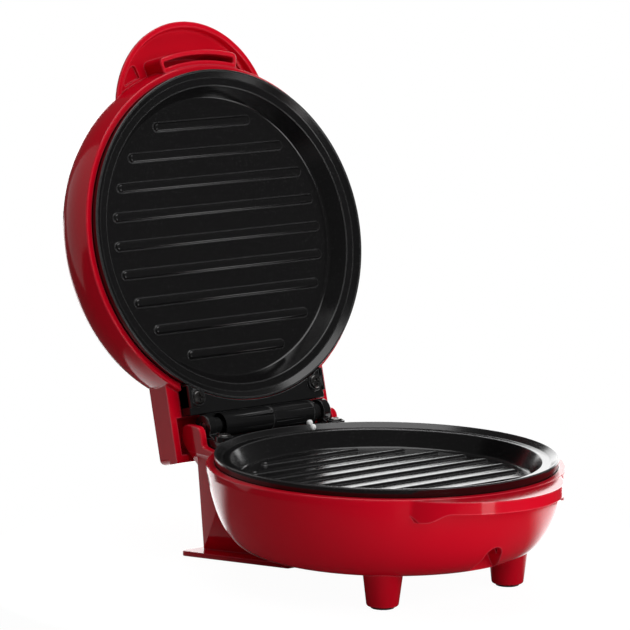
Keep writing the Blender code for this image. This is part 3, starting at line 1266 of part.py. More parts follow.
def make_lid_hinge_cover(frame, material):
    """Black cover below the upper plate that carries the barrel of the hinge."""
    cover = block("lid_hinge_cover", (-LID_COVER_HALF_WIDTH, -LID_COVER_REACH, LID_COVER_BACK),
                  (LID_COVER_HALF_WIDTH, -STAND_FRONT_TOP_Y, LID_COVER_FACE), PARTS, frame)
    bevel(cover, COVER_EDGE)
    back = LID_COVER_BACK + COVER_EDGE
    inside = -LID_COVER_REACH + BARREL_RADIUS
    outline = [
        (inside, back),
        (inside, NECK_FRONT),
        (LID_HINGE_V + BARREL_RADIUS / 2, LID_HINGE_W - BARREL_RADIUS / 2),
        (LID_HINGE_V, LID_HINGE_W - BARREL_RADIUS / 2),
        (LID_HINGE_V, LID_HINGE_W - BARREL_RADIUS + COVER_EDGE / 2),
        (-LID_COVER_REACH, back),
    ]
    neck = prism("barrel_neck", outline, -NECK_HALF_LENGTH, NECK_HALF_LENGTH, GUIDES, frame, "X")
    end_reach = BARREL_HALF_LENGTH + BARREL_END_LENGTH
    ring_reach = BARREL_HALF_LENGTH - COLLAR_WIDTH
    collar_radius = BARREL_RADIUS + COLLAR_HEIGHT
    turned_pieces = [
        ("barrel_core", BARREL_END_RADIUS, -end_reach, end_reach),
        ("barrel_sleeve", BARREL_RADIUS, -ring_reach - COVER_EDGE, ring_reach + COVER_EDGE),
        ("barrel_collar", collar_radius, COLLAR_X - COLLAR_WIDTH / 2, COLLAR_X + COLLAR_WIDTH / 2),
        ("barrel_ring_0", collar_radius, -BARREL_HALF_LENGTH, -ring_reach),
        ("barrel_ring_1", collar_radius, ring_reach, BARREL_HALF_LENGTH),
    ]
    unite(cover, neck)
    for name, radius, low, high in turned_pieces:
        piece = cylinder(name, radius, low, high, GUIDES, frame)
        piece.rotation_euler = (0, math.pi / 2, 0)
        piece.location = (0, LID_HINGE_V, LID_HINGE_W)
        unite(cover, piece)
    for index, side in enumerate((-1, 1)):
        boss = cylinder(f"lid_cover_boss_{index}", COVER_BOSS_RADIUS, LID_COVER_BACK + COVER_EDGE,
                        LID_BOSS_TOP, GUIDES, frame)
        boss.location = (side * LID_BOSS_X, LID_BOSS_V, 0)
        rib_outer = side * LID_COVER_HALF_WIDTH
        rib_inner = side * (LID_COVER_HALF_WIDTH - SIDE_RIB_WIDTH)
        rib_low, rib_high = sorted((rib_outer, rib_inner))
        rib = block(f"lid_side_rib_{index}", (rib_low, SIDE_RIB_END, LID_COVER_BACK + COVER_EDGE),
                    (rib_high, SIDE_RIB_START, SIDE_RIB_HEIGHT), GUIDES, frame)
        recess = cylinder(f"lid_cover_recess_{index}", COVER_BOSS_RECESS_RADIUS,
                          LID_BOSS_TOP - COVER_BOSS_RECESS_DEPTH, LID_BOSS_TOP + OVERRUN, GUIDES,
                          frame)
        hole = cylinder(f"lid_cover_hole_{index}", SCREW_HOLE_RADIUS, LID_COVER_BACK - OVERRUN,
                        LID_BOSS_TOP, GUIDES, frame)
        recess.location = boss.location
        hole.location = boss.location
        unite(cover, boss, rib)
        cut(cover, recess, hole)
    plate_room = cylinder("lid_cover_plate_room", COVER_FRONT_RADIUS, LID_COVER_BACK - OVERRUN,
                          SIDE_RIB_HEIGHT + OVERRUN, GUIDES, frame, steps=SHELL_STEPS)
    cut(cover, plate_room)
    for index, side in enumerate((-1, 1)):
        outer = side * (end_reach + OVERRUN)
        inner = side * (PIN_INNER_X - RUNNING_GAP)
        low, high = sorted((outer, inner))
        bore = cylinder(f"barrel_bore_{index}", PIN_RADIUS + RUNNING_GAP, low, high, GUIDES, frame)
        bore.rotation_euler = (0, math.pi / 2, 0)
        bore.location = (0, LID_HINGE_V, LID_HINGE_W)
        cut(cover, bore)
    paint(cover, material)
    return cover


def make_indicator(frame, lens_material, lamp_material):
    """A round lens in the top of the lid, with its lamp behind it."""
    inner_face = DOME_TOP + SHELL_WALL + SEAT_GAP
    flange_top = inner_face + LENS_FLANGE
    corners = [
        (0, flange_top, 0),
        (LENS_FLANGE_RADIUS, flange_top, 0),
        (LENS_FLANGE_RADIUS, inner_face, 0),
        (LENS_RADIUS, inner_face, 0),
        (LENS_RADIUS, DOME_TOP - LENS_PROUD, LENS_PROUD),
        (0, DOME_TOP - LENS_PROUD, 0),
    ]
    lens = turned("indicator_lens", rounded(corners), PARTS, frame)
    lens.location = (0, LENS_V, 0)
    paint(lens, lens_material)
    lamp_low = flange_top + SEAT_GAP
    lamp = turned("indicator_lamp", rounded([
        (0, lamp_low + LAMP_LENGTH, 0),
        (LAMP_RADIUS, lamp_low + LAMP_LENGTH, 0),
        (LAMP_RADIUS, lamp_low, LAMP_RADIUS / 2),
        (0, lamp_low, 0),
    ]), PARTS, frame, TINY_STEPS)
    lamp.location = (0, LENS_V, 0)
    paint(lamp, lamp_material)
    return lens, lamp


def add_empty(name, parent=None):
    empty = bpy.data.objects.new(name, None)
    bpy.context.scene.collection.objects.link(empty)
    empty.parent = parent
    return empty


def build_base(frame, finishes):
    make_base_housing(frame, finishes["red"])
    make_base_hinge_cover(frame, finishes["gloss_black"])
    make_plate("lower_grill_plate", frame, finishes["plate"])
    make_element("lower_heating_element", frame, finishes["element"])
    make_shield("lower_heat_shield", frame, finishes["steel"])
    make_thermostat("lower_thermostat", frame, finishes["dark_steel"])
    make_fuse(frame, finishes["ceramic"])
    screw_seat = COUNTERBORE_TOP - SEAT_GAP
    screw_length = BOSS_END + SCREW_BITE - SCREW_RADIUS - screw_seat
    for index, (x, y) in enumerate(boss_places()):
        make_screw(f"lower_plate_screw_{index + 1}", (x, y, screw_seat), screw_length, frame,
                   finishes["dark_steel"], True)
    head_seat = BASE_BOSS_TOP - COVER_BOSS_RECESS_DEPTH + SEAT_GAP
    for index, side in enumerate((-1, 1)):
        make_screw(f"base_cover_screw_{index + 1}", (side * BASE_BOSS_X, BASE_BOSS_Y, head_seat),
                   COVER_SCREW_LENGTH, frame, finishes["dark_steel"])
    make_pin("left_hinge_pin", -1, frame, finishes["steel"])
    make_pin("right_hinge_pin", 1, frame, finishes["steel"])
    make_foot_pad("left_foot_pad", -1, frame, finishes["rubber"])
    make_foot_pad("right_foot_pad", 1, frame, finishes["rubber"])
    make_terminal_block(frame, finishes["ceramic"])
    make_cord_gland(frame, finishes["rubber"])
    make_bumper(frame, finishes["white"])


def build_lid(frame, finishes):
    make_lid_cover(frame, finishes["red"])
    make_lid_hinge_cover(frame, finishes["gloss_black"])
    make_plate("upper_grill_plate", frame, finishes["plate"])
    make_element("upper_heating_element", frame, finishes["element"])
    make_shield("upper_heat_shield", frame, finishes["steel"])
    make_thermostat("upper_thermostat", frame, finishes["dark_steel"])
    screw_seat = SHIELD_UNDERSIDE - SEAT_GAP
    screw_length = BOSS_END + SCREW_BITE - SCREW_RADIUS - screw_seat
    for index, (x, y) in enumerate(boss_places()):
        make_screw(f"upper_plate_screw_{index + 1}", (x, y, screw_seat), screw_length, frame,
                   finishes["dark_steel"], True)
    head_seat = LID_BOSS_TOP - COVER_BOSS_RECESS_DEPTH + SEAT_GAP
    for index, side in enumerate((-1, 1)):
        make_screw(f"lid_cover_screw_{index + 1}", (side * LID_BOSS_X, LID_BOSS_V, head_seat),
                   COVER_SCREW_LENGTH, frame, finishes["dark_steel"])
    make_indicator(frame, finishes["lens"], finishes["ceramic"])


def centre_over_footprint(root):
    """Stands the model on the ground with its bounding box centred over the origin."""
    bpy.context.view_layer.update()
    graph = bpy.context.evaluated_depsgraph_get()
    depths = []
    for piece in PARTS.objects:
        evaluated = piece.evaluated_get(graph)
        mesh = evaluated.to_mesh()
        depths += [(evaluated.matrix_world @ corner.co).y for corner in mesh.vertices]
        evaluated.to_mesh_clear()
    root.location = (0, -(min(depths) + max(depths)) / 2, -FLOOR_LEVEL)


clear_scene()
PARTS = new_collection("sandwich_maker")
GUIDES = new_collection("cutters")

FINISHES = {
    "red": new_material("red_plastic", RED, RED_ROUGHNESS_SHARE),
    "plate": new_material("non_stick_coating", PLATE_BLACK, PLATE_ROUGHNESS_SHARE),
    "gloss_black": new_material("black_plastic", GLOSS_BLACK, GLOSS_BLACK_ROUGHNESS_SHARE),
    "steel": new_material("bright_steel", STEEL, STEEL_ROUGHNESS_SHARE, 1.0),
    "dark_steel": new_material("blackened_steel", DARK_STEEL, DARK_STEEL_ROUGHNESS_SHARE, 1.0),
    "element": new_material("heater_sheath", ELEMENT_GREY, ELEMENT_ROUGHNESS_SHARE, 1.0),
    "rubber": new_material("black_rubber", RUBBER, RUBBER_ROUGHNESS_SHARE),
    "ceramic": new_material("ceramic", CERAMIC, CERAMIC_ROUGHNESS_SHARE),
    "white": new_material("white_silicone", WHITE, WHITE_ROUGHNESS_SHARE),
    "lens": new_material("amber_lens", AMBER, AMBER_ROUGHNESS_SHARE),
}

base_frame = add_empty("base_frame")
lid_hinge = add_empty("lid_hinge", base_frame)
lid_hinge.location = (0, HINGE_Y, HINGE_Z)
lid_hinge.rotation_euler = (-OPEN_ANGLE, 0, 0)
lid_frame = add_empty("lid_frame", lid_hinge)
lid_frame.location = (0, LID_HINGE_V, LID_HINGE_W)
lid_frame.rotation_euler = (math.pi, 0, 0)

build_base(base_frame, FINISHES)
build_lid(lid_frame, FINISHES)
centre_over_footprint(base_frame)
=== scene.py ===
import json
import math

import bmesh
import bpy
from mathutils import Matrix, Vector


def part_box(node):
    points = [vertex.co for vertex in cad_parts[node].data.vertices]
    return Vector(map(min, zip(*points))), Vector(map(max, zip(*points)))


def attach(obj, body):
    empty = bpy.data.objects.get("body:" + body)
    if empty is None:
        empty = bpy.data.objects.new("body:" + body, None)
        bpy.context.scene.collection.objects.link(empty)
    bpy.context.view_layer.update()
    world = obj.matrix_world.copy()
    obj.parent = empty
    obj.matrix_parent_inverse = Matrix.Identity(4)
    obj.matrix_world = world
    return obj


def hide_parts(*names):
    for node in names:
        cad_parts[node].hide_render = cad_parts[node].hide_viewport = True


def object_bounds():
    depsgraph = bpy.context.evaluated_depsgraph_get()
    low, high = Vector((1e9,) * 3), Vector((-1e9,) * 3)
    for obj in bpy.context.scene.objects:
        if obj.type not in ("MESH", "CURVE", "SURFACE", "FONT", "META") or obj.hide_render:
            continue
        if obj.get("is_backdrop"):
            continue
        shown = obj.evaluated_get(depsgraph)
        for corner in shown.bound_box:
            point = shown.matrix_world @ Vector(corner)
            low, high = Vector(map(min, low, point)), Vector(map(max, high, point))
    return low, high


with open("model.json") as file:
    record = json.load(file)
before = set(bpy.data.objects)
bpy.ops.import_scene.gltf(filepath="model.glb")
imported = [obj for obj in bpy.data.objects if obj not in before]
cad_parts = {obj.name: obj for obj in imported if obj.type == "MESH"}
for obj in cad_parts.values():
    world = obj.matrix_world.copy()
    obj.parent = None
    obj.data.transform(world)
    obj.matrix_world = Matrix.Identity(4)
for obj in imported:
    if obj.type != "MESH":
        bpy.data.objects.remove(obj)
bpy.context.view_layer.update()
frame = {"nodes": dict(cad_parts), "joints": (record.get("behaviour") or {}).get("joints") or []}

# Where the two halves sit
# The base stands on the table and the lid hangs on the hinge behind it. Each half is made about
# the middle of its own plate, with the lip of the plate at height zero and the metal below it.
CLOSED_GAP = 0.0040

hinge = frame["joints"][0]
hinge_point = Vector(hinge["pos_m"])
lip_low, lip_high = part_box("lower_grill_plate")
base_place = Matrix.Translation((0, (lip_low.y + lip_high.y) / 2, lip_high.z))
hinge_y = hinge_point.y - base_place.translation.y
hinge_z = hinge_point.z - base_place.translation.z
opened = math.radians(hinge["range_deg"][1])
lid_place = (
    Matrix.Translation(hinge_point)
    @ Matrix.Rotation(-opened, 4, "X")
    @ Matrix.Translation((0, -hinge_y, CLOSED_GAP - hinge_z))
    @ Matrix.Rotation(math.pi, 4, "X")
)

# Base housing
# One gloss red moulding: a bowl with a bowed thumb ledge, an arched notch low on the front, two
# short feet, an ear beside each end of the hinge, and behind it a tapered stand on a thin plate.
RING_STEPS = 224
OVERRUN = 0.004
SEAT_TOP = -0.0046
SEAT_DEPTH = 0.0024
SEAT_WIDTH = 0.0019
RIM_INNER_RADIUS = 0.0631
RIM_TOP = -0.0034
RIM_INSET = 0.0002
RIM_INNER_ROUND = 0.0003
RIM_OUTER_ROUND = 0.0006
BOWL_RIM_RADIUS = 0.0664
BOWL_BOTTOM = -0.0347
BOWL_WALL = 0.0023
BOWL_HANDLES = ((BOWL_RIM_RADIUS, SEAT_TOP), (0.0648, -0.0131), (0.0615, BOWL_BOTTOM), (0.0480, BOWL_BOTTOM))
ROOT_DEPTH = 0.0012
LEDGE_RADIUS = 0.0405
LEDGE_CENTRE_Y = -0.0363
LEDGE_HALF = 0.0342
LEDGE_TOP = -0.0036
LEDGE_MID_HEIGHT = 0.0045
LEDGE_END_HEIGHT = 0.0082
LEDGE_SWEEP = 0.0085
LEDGE_TIP = 0.0367
LEDGE_TIP_RISE = 0.0060
LEDGE_ROOT_SHARE = 0.8
LEDGE_ROUND = 0.0011
FINGER_ROOM_FRONT_Y = -0.085
NOTCH_HALF = 0.0042
NOTCH_FOOT_HALF = 0.0074
NOTCH_TOP = -0.0243
NOTCH_FLOOR = -0.039
NOTCH_FRONT_Y = -0.0704
NOTCH_BACK_Y = -0.0514
LINING_WALL = 0.0020
LINING_FRONT_Y = -0.0560
FOOT_X = 0.0302
FOOT_Y = -0.0340
FOOT_END = -0.0463
PAD_SEAT = -0.0455
PAD_RADIUS = 0.0047
FOOT_LINE = (
    (0, BOWL_BOTTOM + ROOT_DEPTH, 0), (0.0074, BOWL_BOTTOM + ROOT_DEPTH, 0), (0.0058, FOOT_END, 0.0009),
    (PAD_RADIUS, FOOT_END, 0), (PAD_RADIUS, PAD_SEAT, 0), (0, PAD_SEAT, 0),
)
STAND_TOP = -0.0063
STAND_FOOT = -0.0466
STAND_ROUND = 0.0011
STAND_CORNERS = (
    (0.0332, 0.0710, STAND_TOP), (-0.0332, 0.0710, STAND_TOP),
    (-0.0323, 0.0500, STAND_TOP), (0.0323, 0.0500, STAND_TOP),
    (0.0270, 0.0740, STAND_FOOT), (-0.0270, 0.0740, STAND_FOOT),
    (-0.0165, 0.0520, STAND_FOOT), (0.0165, 0.0520, STAND_FOOT),
)
FLOOR_LEVEL = -0.0471
FOOT_PLATE = (
    (0.0362, 0.0767, 0.0015), (-0.0362, 0.0767, 0.0015), (-0.0178, 0.0345, 0.0015), (0.0178, 0.0345, 0.0015),
)
FOOT_PLATE_THICKNESS = 0.0020
FOOT_PLATE_ROUND = 0.0003
EAR_INNER_X = 0.0306
EAR_OUTER_X = 0.0335
EAR_ROUND = 0.0004
EAR_SIDE = (
    (0.0600, -0.0052, 0), (0.0669, -0.0041, 0.0017), (0.0686, 0.0030, 0.0034), (0.0792, 0.0030, 0.0034),
    (0.0792, -0.0039, 0.0034), (0.0748, -0.0078, 0.0034), (0.0710, -0.0156, 0), (0.0600, -0.0156, 0),
)
EAR_SLOPE = (0.0335, -0.0070, 0.0293, -0.0156)
EAR_SLOPE_ROUND = 0.0008
EARS_FRONT_Y = 0.0560
EARS_BACK_Y = 0.0832
SHELF_FRONT_Y = 0.0165
SHELF_TOP = 0.0070
SHELF_CLEARANCE = 0.0001
POST_COUNT = 3
POST_CIRCLE = 0.022
POST_RADIUS = 0.0044
POST_TOP = -0.0192
POST_BOTTOM = -0.0335
HOLE_RADIUS = 0.0018
HOLE_BOTTOM = -0.0312
BORE_RADIUS = 0.0030
BORE_TOP = -0.0272
BORE_BOTTOM = -0.0387
CABLE_WAY_RADIUS = 0.0047
CABLE_WAY_HEIGHT = -0.0240
CABLE_WAY_FRONT_Y = 0.050
CABLE_WAY_BACK_Y = 0.078
RED = (0.570, 0.0004, 0.0120)
# The second red is a pale pink, a painted highlight for the edges of the mouldings.
RED_EDGE_HIGHLIGHT = (0.82, 0.08, 0.12)


def solid(name, fill):
    """A new object from what fill puts into an empty mesh."""
    work = bmesh.new()
    fill(work)
    bmesh.ops.recalc_face_normals(work, faces=work.faces)
    mesh = bpy.data.meshes.new(name)
    work.to_mesh(mesh)
    work.free()
    made = bpy.data.objects.new(name, mesh)
    bpy.context.scene.collection.objects.link(made)
    return made


def lathe(name, profile, steps=48):
    """A line of (radius, height) turned once about the upright axis."""
    def fill(work):
        rings = []
        for radius, height in profile:
            turns = [math.tau * k / steps for k in range(steps if radius > 0 else 1)]
            spots = [(radius * math.cos(turn), radius * math.sin(turn), height) for turn in turns]
            rings.append([work.verts.new(spot) for spot in spots])
        for ring, following in zip(rings, rings[1:]):
            for k in range(steps):
                n = (k + 1) % steps
                corners = [ring[k % len(ring)], ring[n % len(ring)],
                           following[n % len(following)], following[k % len(following)]]
                corners = list(dict.fromkeys(corners))
                if len(corners) > 2:
                    work.faces.new(corners)
    return solid(name, fill)


def plug(name, radius, low, high, steps=48):
    """A plain upright cylinder."""
    return lathe(name, [(0, low), (radius, low), (radius, high), (0, high)], steps)


def slab(name, outline, low, high, facing="Z"):
    """A flat outline given thickness along the axis that it faces."""
    def at(across, up, depth):
        return {"X": (depth, across, up), "Y": (across, depth, up), "Z": (across, up, depth)}[facing]

    def fill(work):
        near, far = [[work.verts.new(at(a, b, depth)) for a, b in outline] for depth in (low, high)]
        work.faces.new(near)
        work.faces.new(far)
        for k in range(len(outline)):
            n = (k + 1) % len(outline)
            work.faces.new((near[k], near[n], far[n], far[k]))
    return solid(name, fill)


def box(name, lows, highs):
    (x0, y0, z0), (x1, y1, z1) = lows, highs
    return slab(name, [(x0, y0), (x1, y0), (x1, y1), (x0, y1)], z0, z1)


def rounded(corners, closed=False, steps=6):
    """Turns corners of (across, up, radius) into a line whose corners are arcs."""
    points = []
    count = len(corners)
    for index, (across, up, radius) in enumerate(corners):
        here = Vector((across, up))
        if radius == 0 or (not closed and index in (0, count - 1)):
            points.append(here)
            continue
        before = (Vector(corners[index - 1][:2]) - here).normalized()
        after = (Vector(corners[(index + 1) % count][:2]) - here).normalized()
        half_turn = before.angle(after) / 2
        centre = here + (before + after).normalized() * (radius / math.sin(half_turn))
        start = here + before * (radius / math.tan(half_turn)) - centre
        finish = here + after * (radius / math.tan(half_turn)) - centre
        turn = start.angle_signed(finish)
        for step in range(steps + 1):
            spoke = start.copy()
            spoke.rotate(Matrix.Rotation(-turn * step / steps, 2))
            points.append(centre + spoke)
    return [(point.x, point.y) for point in points]


def arc(radius, start, finish, centre=(0, 0), steps=24):
    turns = [start + (finish - start) * step / steps for step in range(steps + 1)]
    return [(centre[0] + radius * math.cos(t), centre[1] + radius * math.sin(t)) for t in turns]


def bezier(handles, steps=28):
    first, second, third, fourth = [Vector(handle) for handle in handles]
    points = []
    for step in range(steps + 1):
        t = step / steps
        s = 1 - t
        point = first * s**3 + second * (3 * s * s * t) + third * (3 * s * t * t) + fourth * t**3
        points.append((point.x, point.y))
    return points


def inset(points, distance):
    """The same line moved inwards, to the left of its way down the outer side."""
    shifted = []
    for index, point in enumerate(points):
        before = Vector(points[max(index - 1, 0)])
        after = Vector(points[min(index + 1, len(points) - 1)])
        along = (after - before).normalized()
        shifted.append((point[0] + along.y * distance, point[1] - along.x * distance))
    return shifted


def worked(piece, kind, **settings):
    """Puts the piece through one modifier and keeps the result as its mesh."""
    step = piece.modifiers.new(kind, kind)
    for key, value in settings.items():
        setattr(step, key, value)
    graph = bpy.context.evaluated_depsgraph_get()
    mesh = bpy.data.meshes.new_from_object(piece.evaluated_get(graph))
    piece.modifiers.clear()
    piece.data = mesh
    return piece


def eased(piece, width, segments=3, angle=40):
    """Rounds the edges that are sharper than angle, in degrees."""
    return worked(piece, "BEVEL", width=width, segments=segments, limit_method="ANGLE",
                  angle_limit=math.radians(angle), use_clamp_overlap=True)


def combined(piece, operation, tools):
    for tool in tools:
        worked(piece, "BOOLEAN", object=tool, operation=operation, solver="EXACT")
        bpy.data.objects.remove(tool)
    return piece


def joined(piece, *tools):
    return combined(piece, "UNION", tools)


def carved(piece, *tools):
    return combined(piece, "DIFFERENCE", tools)


def smooth(piece, angle=32):
    """Smooth shading between sharp edges, with flat faces left flat up to their rounded edges."""
    piece.data.shade_smooth()
    piece.data.set_sharp_from_angle(angle=math.radians(angle))
    return worked(piece, "WEIGHTED_NORMAL", keep_sharp=True)


def moved(piece, x=0.0, y=0.0, z=0.0):
    piece.data.transform(Matrix.Translation((x, y, z)))
    return piece


def shell_line(outer, bottom):
    """The closed profile of a moulded bowl: inside, seat for the plate, rim, outside."""
    inner = [point for point in inset(outer, BOWL_WALL) if point[1] < SEAT_TOP - SEAT_DEPTH]
    seat_inner = RIM_INNER_RADIUS - SEAT_WIDTH
    rim = rounded([
        (RIM_INNER_RADIUS, SEAT_TOP, 0), (RIM_INNER_RADIUS, RIM_TOP, RIM_INNER_ROUND),
        (outer[0][0] - RIM_INSET, RIM_TOP, RIM_OUTER_ROUND), (*outer[1], 0),
    ])
    return (
        [(0, bottom + BOWL_WALL)] + inner[::-1] + [(inner[0][0], SEAT_TOP - SEAT_DEPTH)]
        + [(seat_inner, SEAT_TOP - SEAT_DEPTH), (seat_inner, SEAT_TOP)] + rim + outer[2:] + [(0, bottom)]
    )


def core(outer, bottom):
    """A solid that fills a bowl as far as the middle of its wall, to cut or to trim with."""
    middle = inset(outer, BOWL_WALL / 2)
    line = [(0, OVERRUN), (middle[0][0], OVERRUN)] + middle + [(0, bottom + BOWL_WALL / 2)]
    return lathe("core", line, RING_STEPS)


def post_places():
    """Where the fixing posts of the base and the bosses of the plates stand."""
    turns = [math.tau * k / POST_COUNT - math.pi / 2 for k in range(POST_COUNT)]
    return [(POST_CIRCLE * math.cos(turn), POST_CIRCLE * math.sin(turn)) for turn in turns]


def stand_fill(work):
    bmesh.ops.convex_hull(work, input=[work.verts.new(corner) for corner in STAND_CORNERS])


bowl_line = bezier(BOWL_HANDLES)
housing = lathe("base_housing_skin", shell_line(bowl_line, BOWL_BOTTOM), RING_STEPS)

ledge_front = math.asin(LEDGE_TIP / LEDGE_RADIUS)
ledge_root = BOWL_RIM_RADIUS - BOWL_WALL * LEDGE_ROOT_SHARE
ledge_back = math.asin(LEDGE_TIP / ledge_root)
down = -math.pi / 2
ledge_outline = (
    arc(LEDGE_RADIUS, down - ledge_front, down + ledge_front, (0, LEDGE_CENTRE_Y), 72)
    + arc(ledge_root, down + ledge_back, down - ledge_back, steps=24)
)
ledge_middle = LEDGE_TOP - LEDGE_MID_HEIGHT
ledge_end = LEDGE_TOP - LEDGE_END_HEIGHT
ledge = slab("ledge", ledge_outline, ledge_end, LEDGE_TOP)
lobe = bezier([
    (LEDGE_HALF, ledge_end), (LEDGE_HALF - LEDGE_SWEEP / 2, ledge_end),
    (LEDGE_HALF - LEDGE_SWEEP / 2, ledge_middle), (LEDGE_HALF - LEDGE_SWEEP, ledge_middle),
], 20)
finger_line = lobe + [(-x, z) for x, z in reversed(lobe)] + [
    (-LEDGE_HALF - OVERRUN, ledge_end + LEDGE_TIP_RISE), (-LEDGE_HALF - OVERRUN, ledge_end - OVERRUN),
    (LEDGE_HALF + OVERRUN, ledge_end - OVERRUN), (LEDGE_HALF + OVERRUN, ledge_end + LEDGE_TIP_RISE),
]
finger_room = slab("finger_room", finger_line, FINGER_ROOM_FRONT_Y, 0, "Y")
eased(carved(ledge, finger_room), LEDGE_ROUND, 5, 50)

stand = worked(solid("stand", stand_fill), "DECIMATE", decimate_type="DISSOLVE")
carved(eased(stand, STAND_ROUND, 4), core(bowl_line, BOWL_BOTTOM))
foot_plate = slab("foot_plate", rounded(FOOT_PLATE, True), FLOOR_LEVEL, FLOOR_LEVEL + FOOT_PLATE_THICKNESS)
eased(foot_plate, FOOT_PLATE_ROUND, 2, 60)

feet = [moved(lathe("foot", rounded(FOOT_LINE), 64), side * FOOT_X, FOOT_Y) for side in (-1, 1)]

ears = []
upper_x, upper_z, lower_x, lower_z = EAR_SLOPE
fall_x, fall_z = upper_x - lower_x, upper_z - lower_z
for side in (-1, 1):
    low, high = sorted((side * EAR_INNER_X, side * EAR_OUTER_X))
    ear = eased(slab("ear", rounded(EAR_SIDE, True), low, high, "X"), EAR_ROUND, 2, 60)
    outside = [
        (side * (upper_x + fall_x), upper_z + fall_z), (side * (lower_x - fall_x), lower_z - fall_z),
        (side * (upper_x + fall_x), lower_z - fall_z),
    ]
    slope = slab("slope", outside, EARS_FRONT_Y, EARS_BACK_Y, "Y")
    ears.append(eased(carved(ear, slope), EAR_SLOPE_ROUND, 3, 20))

mouth_outline = arc(NOTCH_HALF, 0, math.pi, (0, NOTCH_TOP - NOTCH_HALF), 32) + [
    (-NOTCH_FOOT_HALF, BOWL_BOTTOM), (-NOTCH_FOOT_HALF, NOTCH_FLOOR),
    (NOTCH_FOOT_HALF, NOTCH_FLOOR), (NOTCH_FOOT_HALF, BOWL_BOTTOM),
]
mouth = slab("mouth", mouth_outline, NOTCH_FRONT_Y, NOTCH_BACK_Y, "Y")
lining = box("lining", (-NOTCH_FOOT_HALF - LINING_WALL, LINING_FRONT_Y, BOWL_BOTTOM + ROOT_DEPTH),
             (NOTCH_FOOT_HALF + LINING_WALL, NOTCH_BACK_Y + LINING_WALL, NOTCH_TOP + LINING_WALL))
combined(lining, "INTERSECT", [core(bowl_line, BOWL_BOTTOM)])
shelf = box("shelf", (-EAR_INNER_X - SHELF_CLEARANCE, SHELF_FRONT_Y, STAND_TOP),
            (EAR_INNER_X + SHELF_CLEARANCE, EARS_BACK_Y, SHELF_TOP))

joined(housing, stand, foot_plate, ledge, lining, *feet, *ears)
carved(housing, mouth, shelf)
for x, y in post_places():
    joined(housing, moved(plug("post", POST_RADIUS, POST_BOTTOM, POST_TOP), x, y))
    carved(housing, moved(plug("hole", HOLE_RADIUS, HOLE_BOTTOM, OVERRUN), x, y),
           moved(plug("bore", BORE_RADIUS, BORE_BOTTOM, BORE_TOP), x, y))
cable_way = plug("cable_way", CABLE_WAY_RADIUS, CABLE_WAY_FRONT_Y, CABLE_WAY_BACK_Y)
backwards = Matrix.Rotation(-math.pi / 2, 4, "X")
cable_way.data.transform(Matrix.Translation((0, 0, CABLE_WAY_HEIGHT)) @ backwards)
smooth(carved(housing, cable_way))


class Socket:
    """One output in a material's tree; sums written on it add their own Math nodes."""

    def __init__(self, paint, link):
        self.paint = paint
        self.link = link

    def maths(self, operation, first, second):
        return self.paint.node("ShaderNodeMath", {"operation": operation}, {0: first, 1: second})

    def __add__(self, other):
        return self.maths("ADD", self, other)

    def __radd__(self, other):
        return self.maths("ADD", other, self)

    def __sub__(self, other):
        return self.maths("SUBTRACT", self, other)

    def __rsub__(self, other):
        return self.maths("SUBTRACT", other, self)

    def __mul__(self, other):
        return self.maths("MULTIPLY", self, other)

    def __rmul__(self, other):
        return self.maths("MULTIPLY", other, self)


class Paint:
    """A material that is being mixed, and the one way in which nodes are added to it."""

    def __init__(self, name):
        self.material = bpy.data.materials.new(name)
        self.material.use_nodes = True
        self.tree = self.material.node_tree
        self.shader = self.tree.nodes["Principled BSDF"]

    def node(self, kind, settings, sockets, output=0):
        made = self.tree.nodes.new(kind)
        for key, value in settings.items():
            if key == "stops":
                while len(made.color_ramp.elements) < len(value):
                    made.color_ramp.elements.new(1.0)
                for stop, (place, shade) in zip(made.color_ramp.elements, value):
                    stop.position = place
                    stop.color = (shade, shade, shade, 1)
            else:
                setattr(made, key, value)
        for key, value in sockets.items():
            self.plug(made.inputs[key], value)
        return Socket(self, made.outputs[output])

    def plug(self, target, value):
        if isinstance(value, Socket):
            self.tree.links.new(value.link, target)
        else:
            target.default_value = value

    def set(self, values):
        for key, value in values.items():
            self.plug(self.shader.inputs[key], value)

    def place(self):
        return self.node("ShaderNodeTexCoord", {}, {}, "Object")

    def noise(self, size, detail=2.0, roughness=0.5):
        """Noise from 0 to 1 whose lumps are about size metres across."""
        return self.node("ShaderNodeTexNoise", {}, {
            "Vector": self.place(), "Scale": 1 / size, "Detail": detail, "Roughness": roughness})

    def blend(self, share, first, second):
        """The colour first where share is 0, going over to second where it is 1."""
        colours = {0: share, 6: (*first, 1), 7: (*second, 1)}
        return self.node("ShaderNodeMix", {"data_type": "RGBA"}, colours, 2)

    def relief(self, height, depth, edge):
        """Fine relief, over corners that the light meets as rounded over edge metres."""
        turned = self.node("ShaderNodeBevel", {"samples": 6}, {"Radius": edge})
        return self.node("ShaderNodeBump", {}, {"Height": height, "Distance": depth, "Normal": turned})

    def edges(self, reach, start, full):
        """1 where a corner lies within reach metres, 0 on flat and gently curved faces."""
        turned = self.node("ShaderNodeBevel", {"samples": 6}, {"Radius": reach})
        flat = self.node("ShaderNodeNewGeometry", {}, {}, "Normal")
        match = self.node("ShaderNodeVectorMath", {"operation": "DOT_PRODUCT"}, {0: turned, 1: flat}, 1)
        stops = ((0.0, 0.0), (start, 0.0), (full, 1.0))
        return self.node("ShaderNodeValToRGB", {"stops": stops}, {"Fac": 1 - match})

    def cover(self, *pieces):
        for piece in pieces:
            piece.data.materials.clear()
            piece.data.materials.append(self.material)


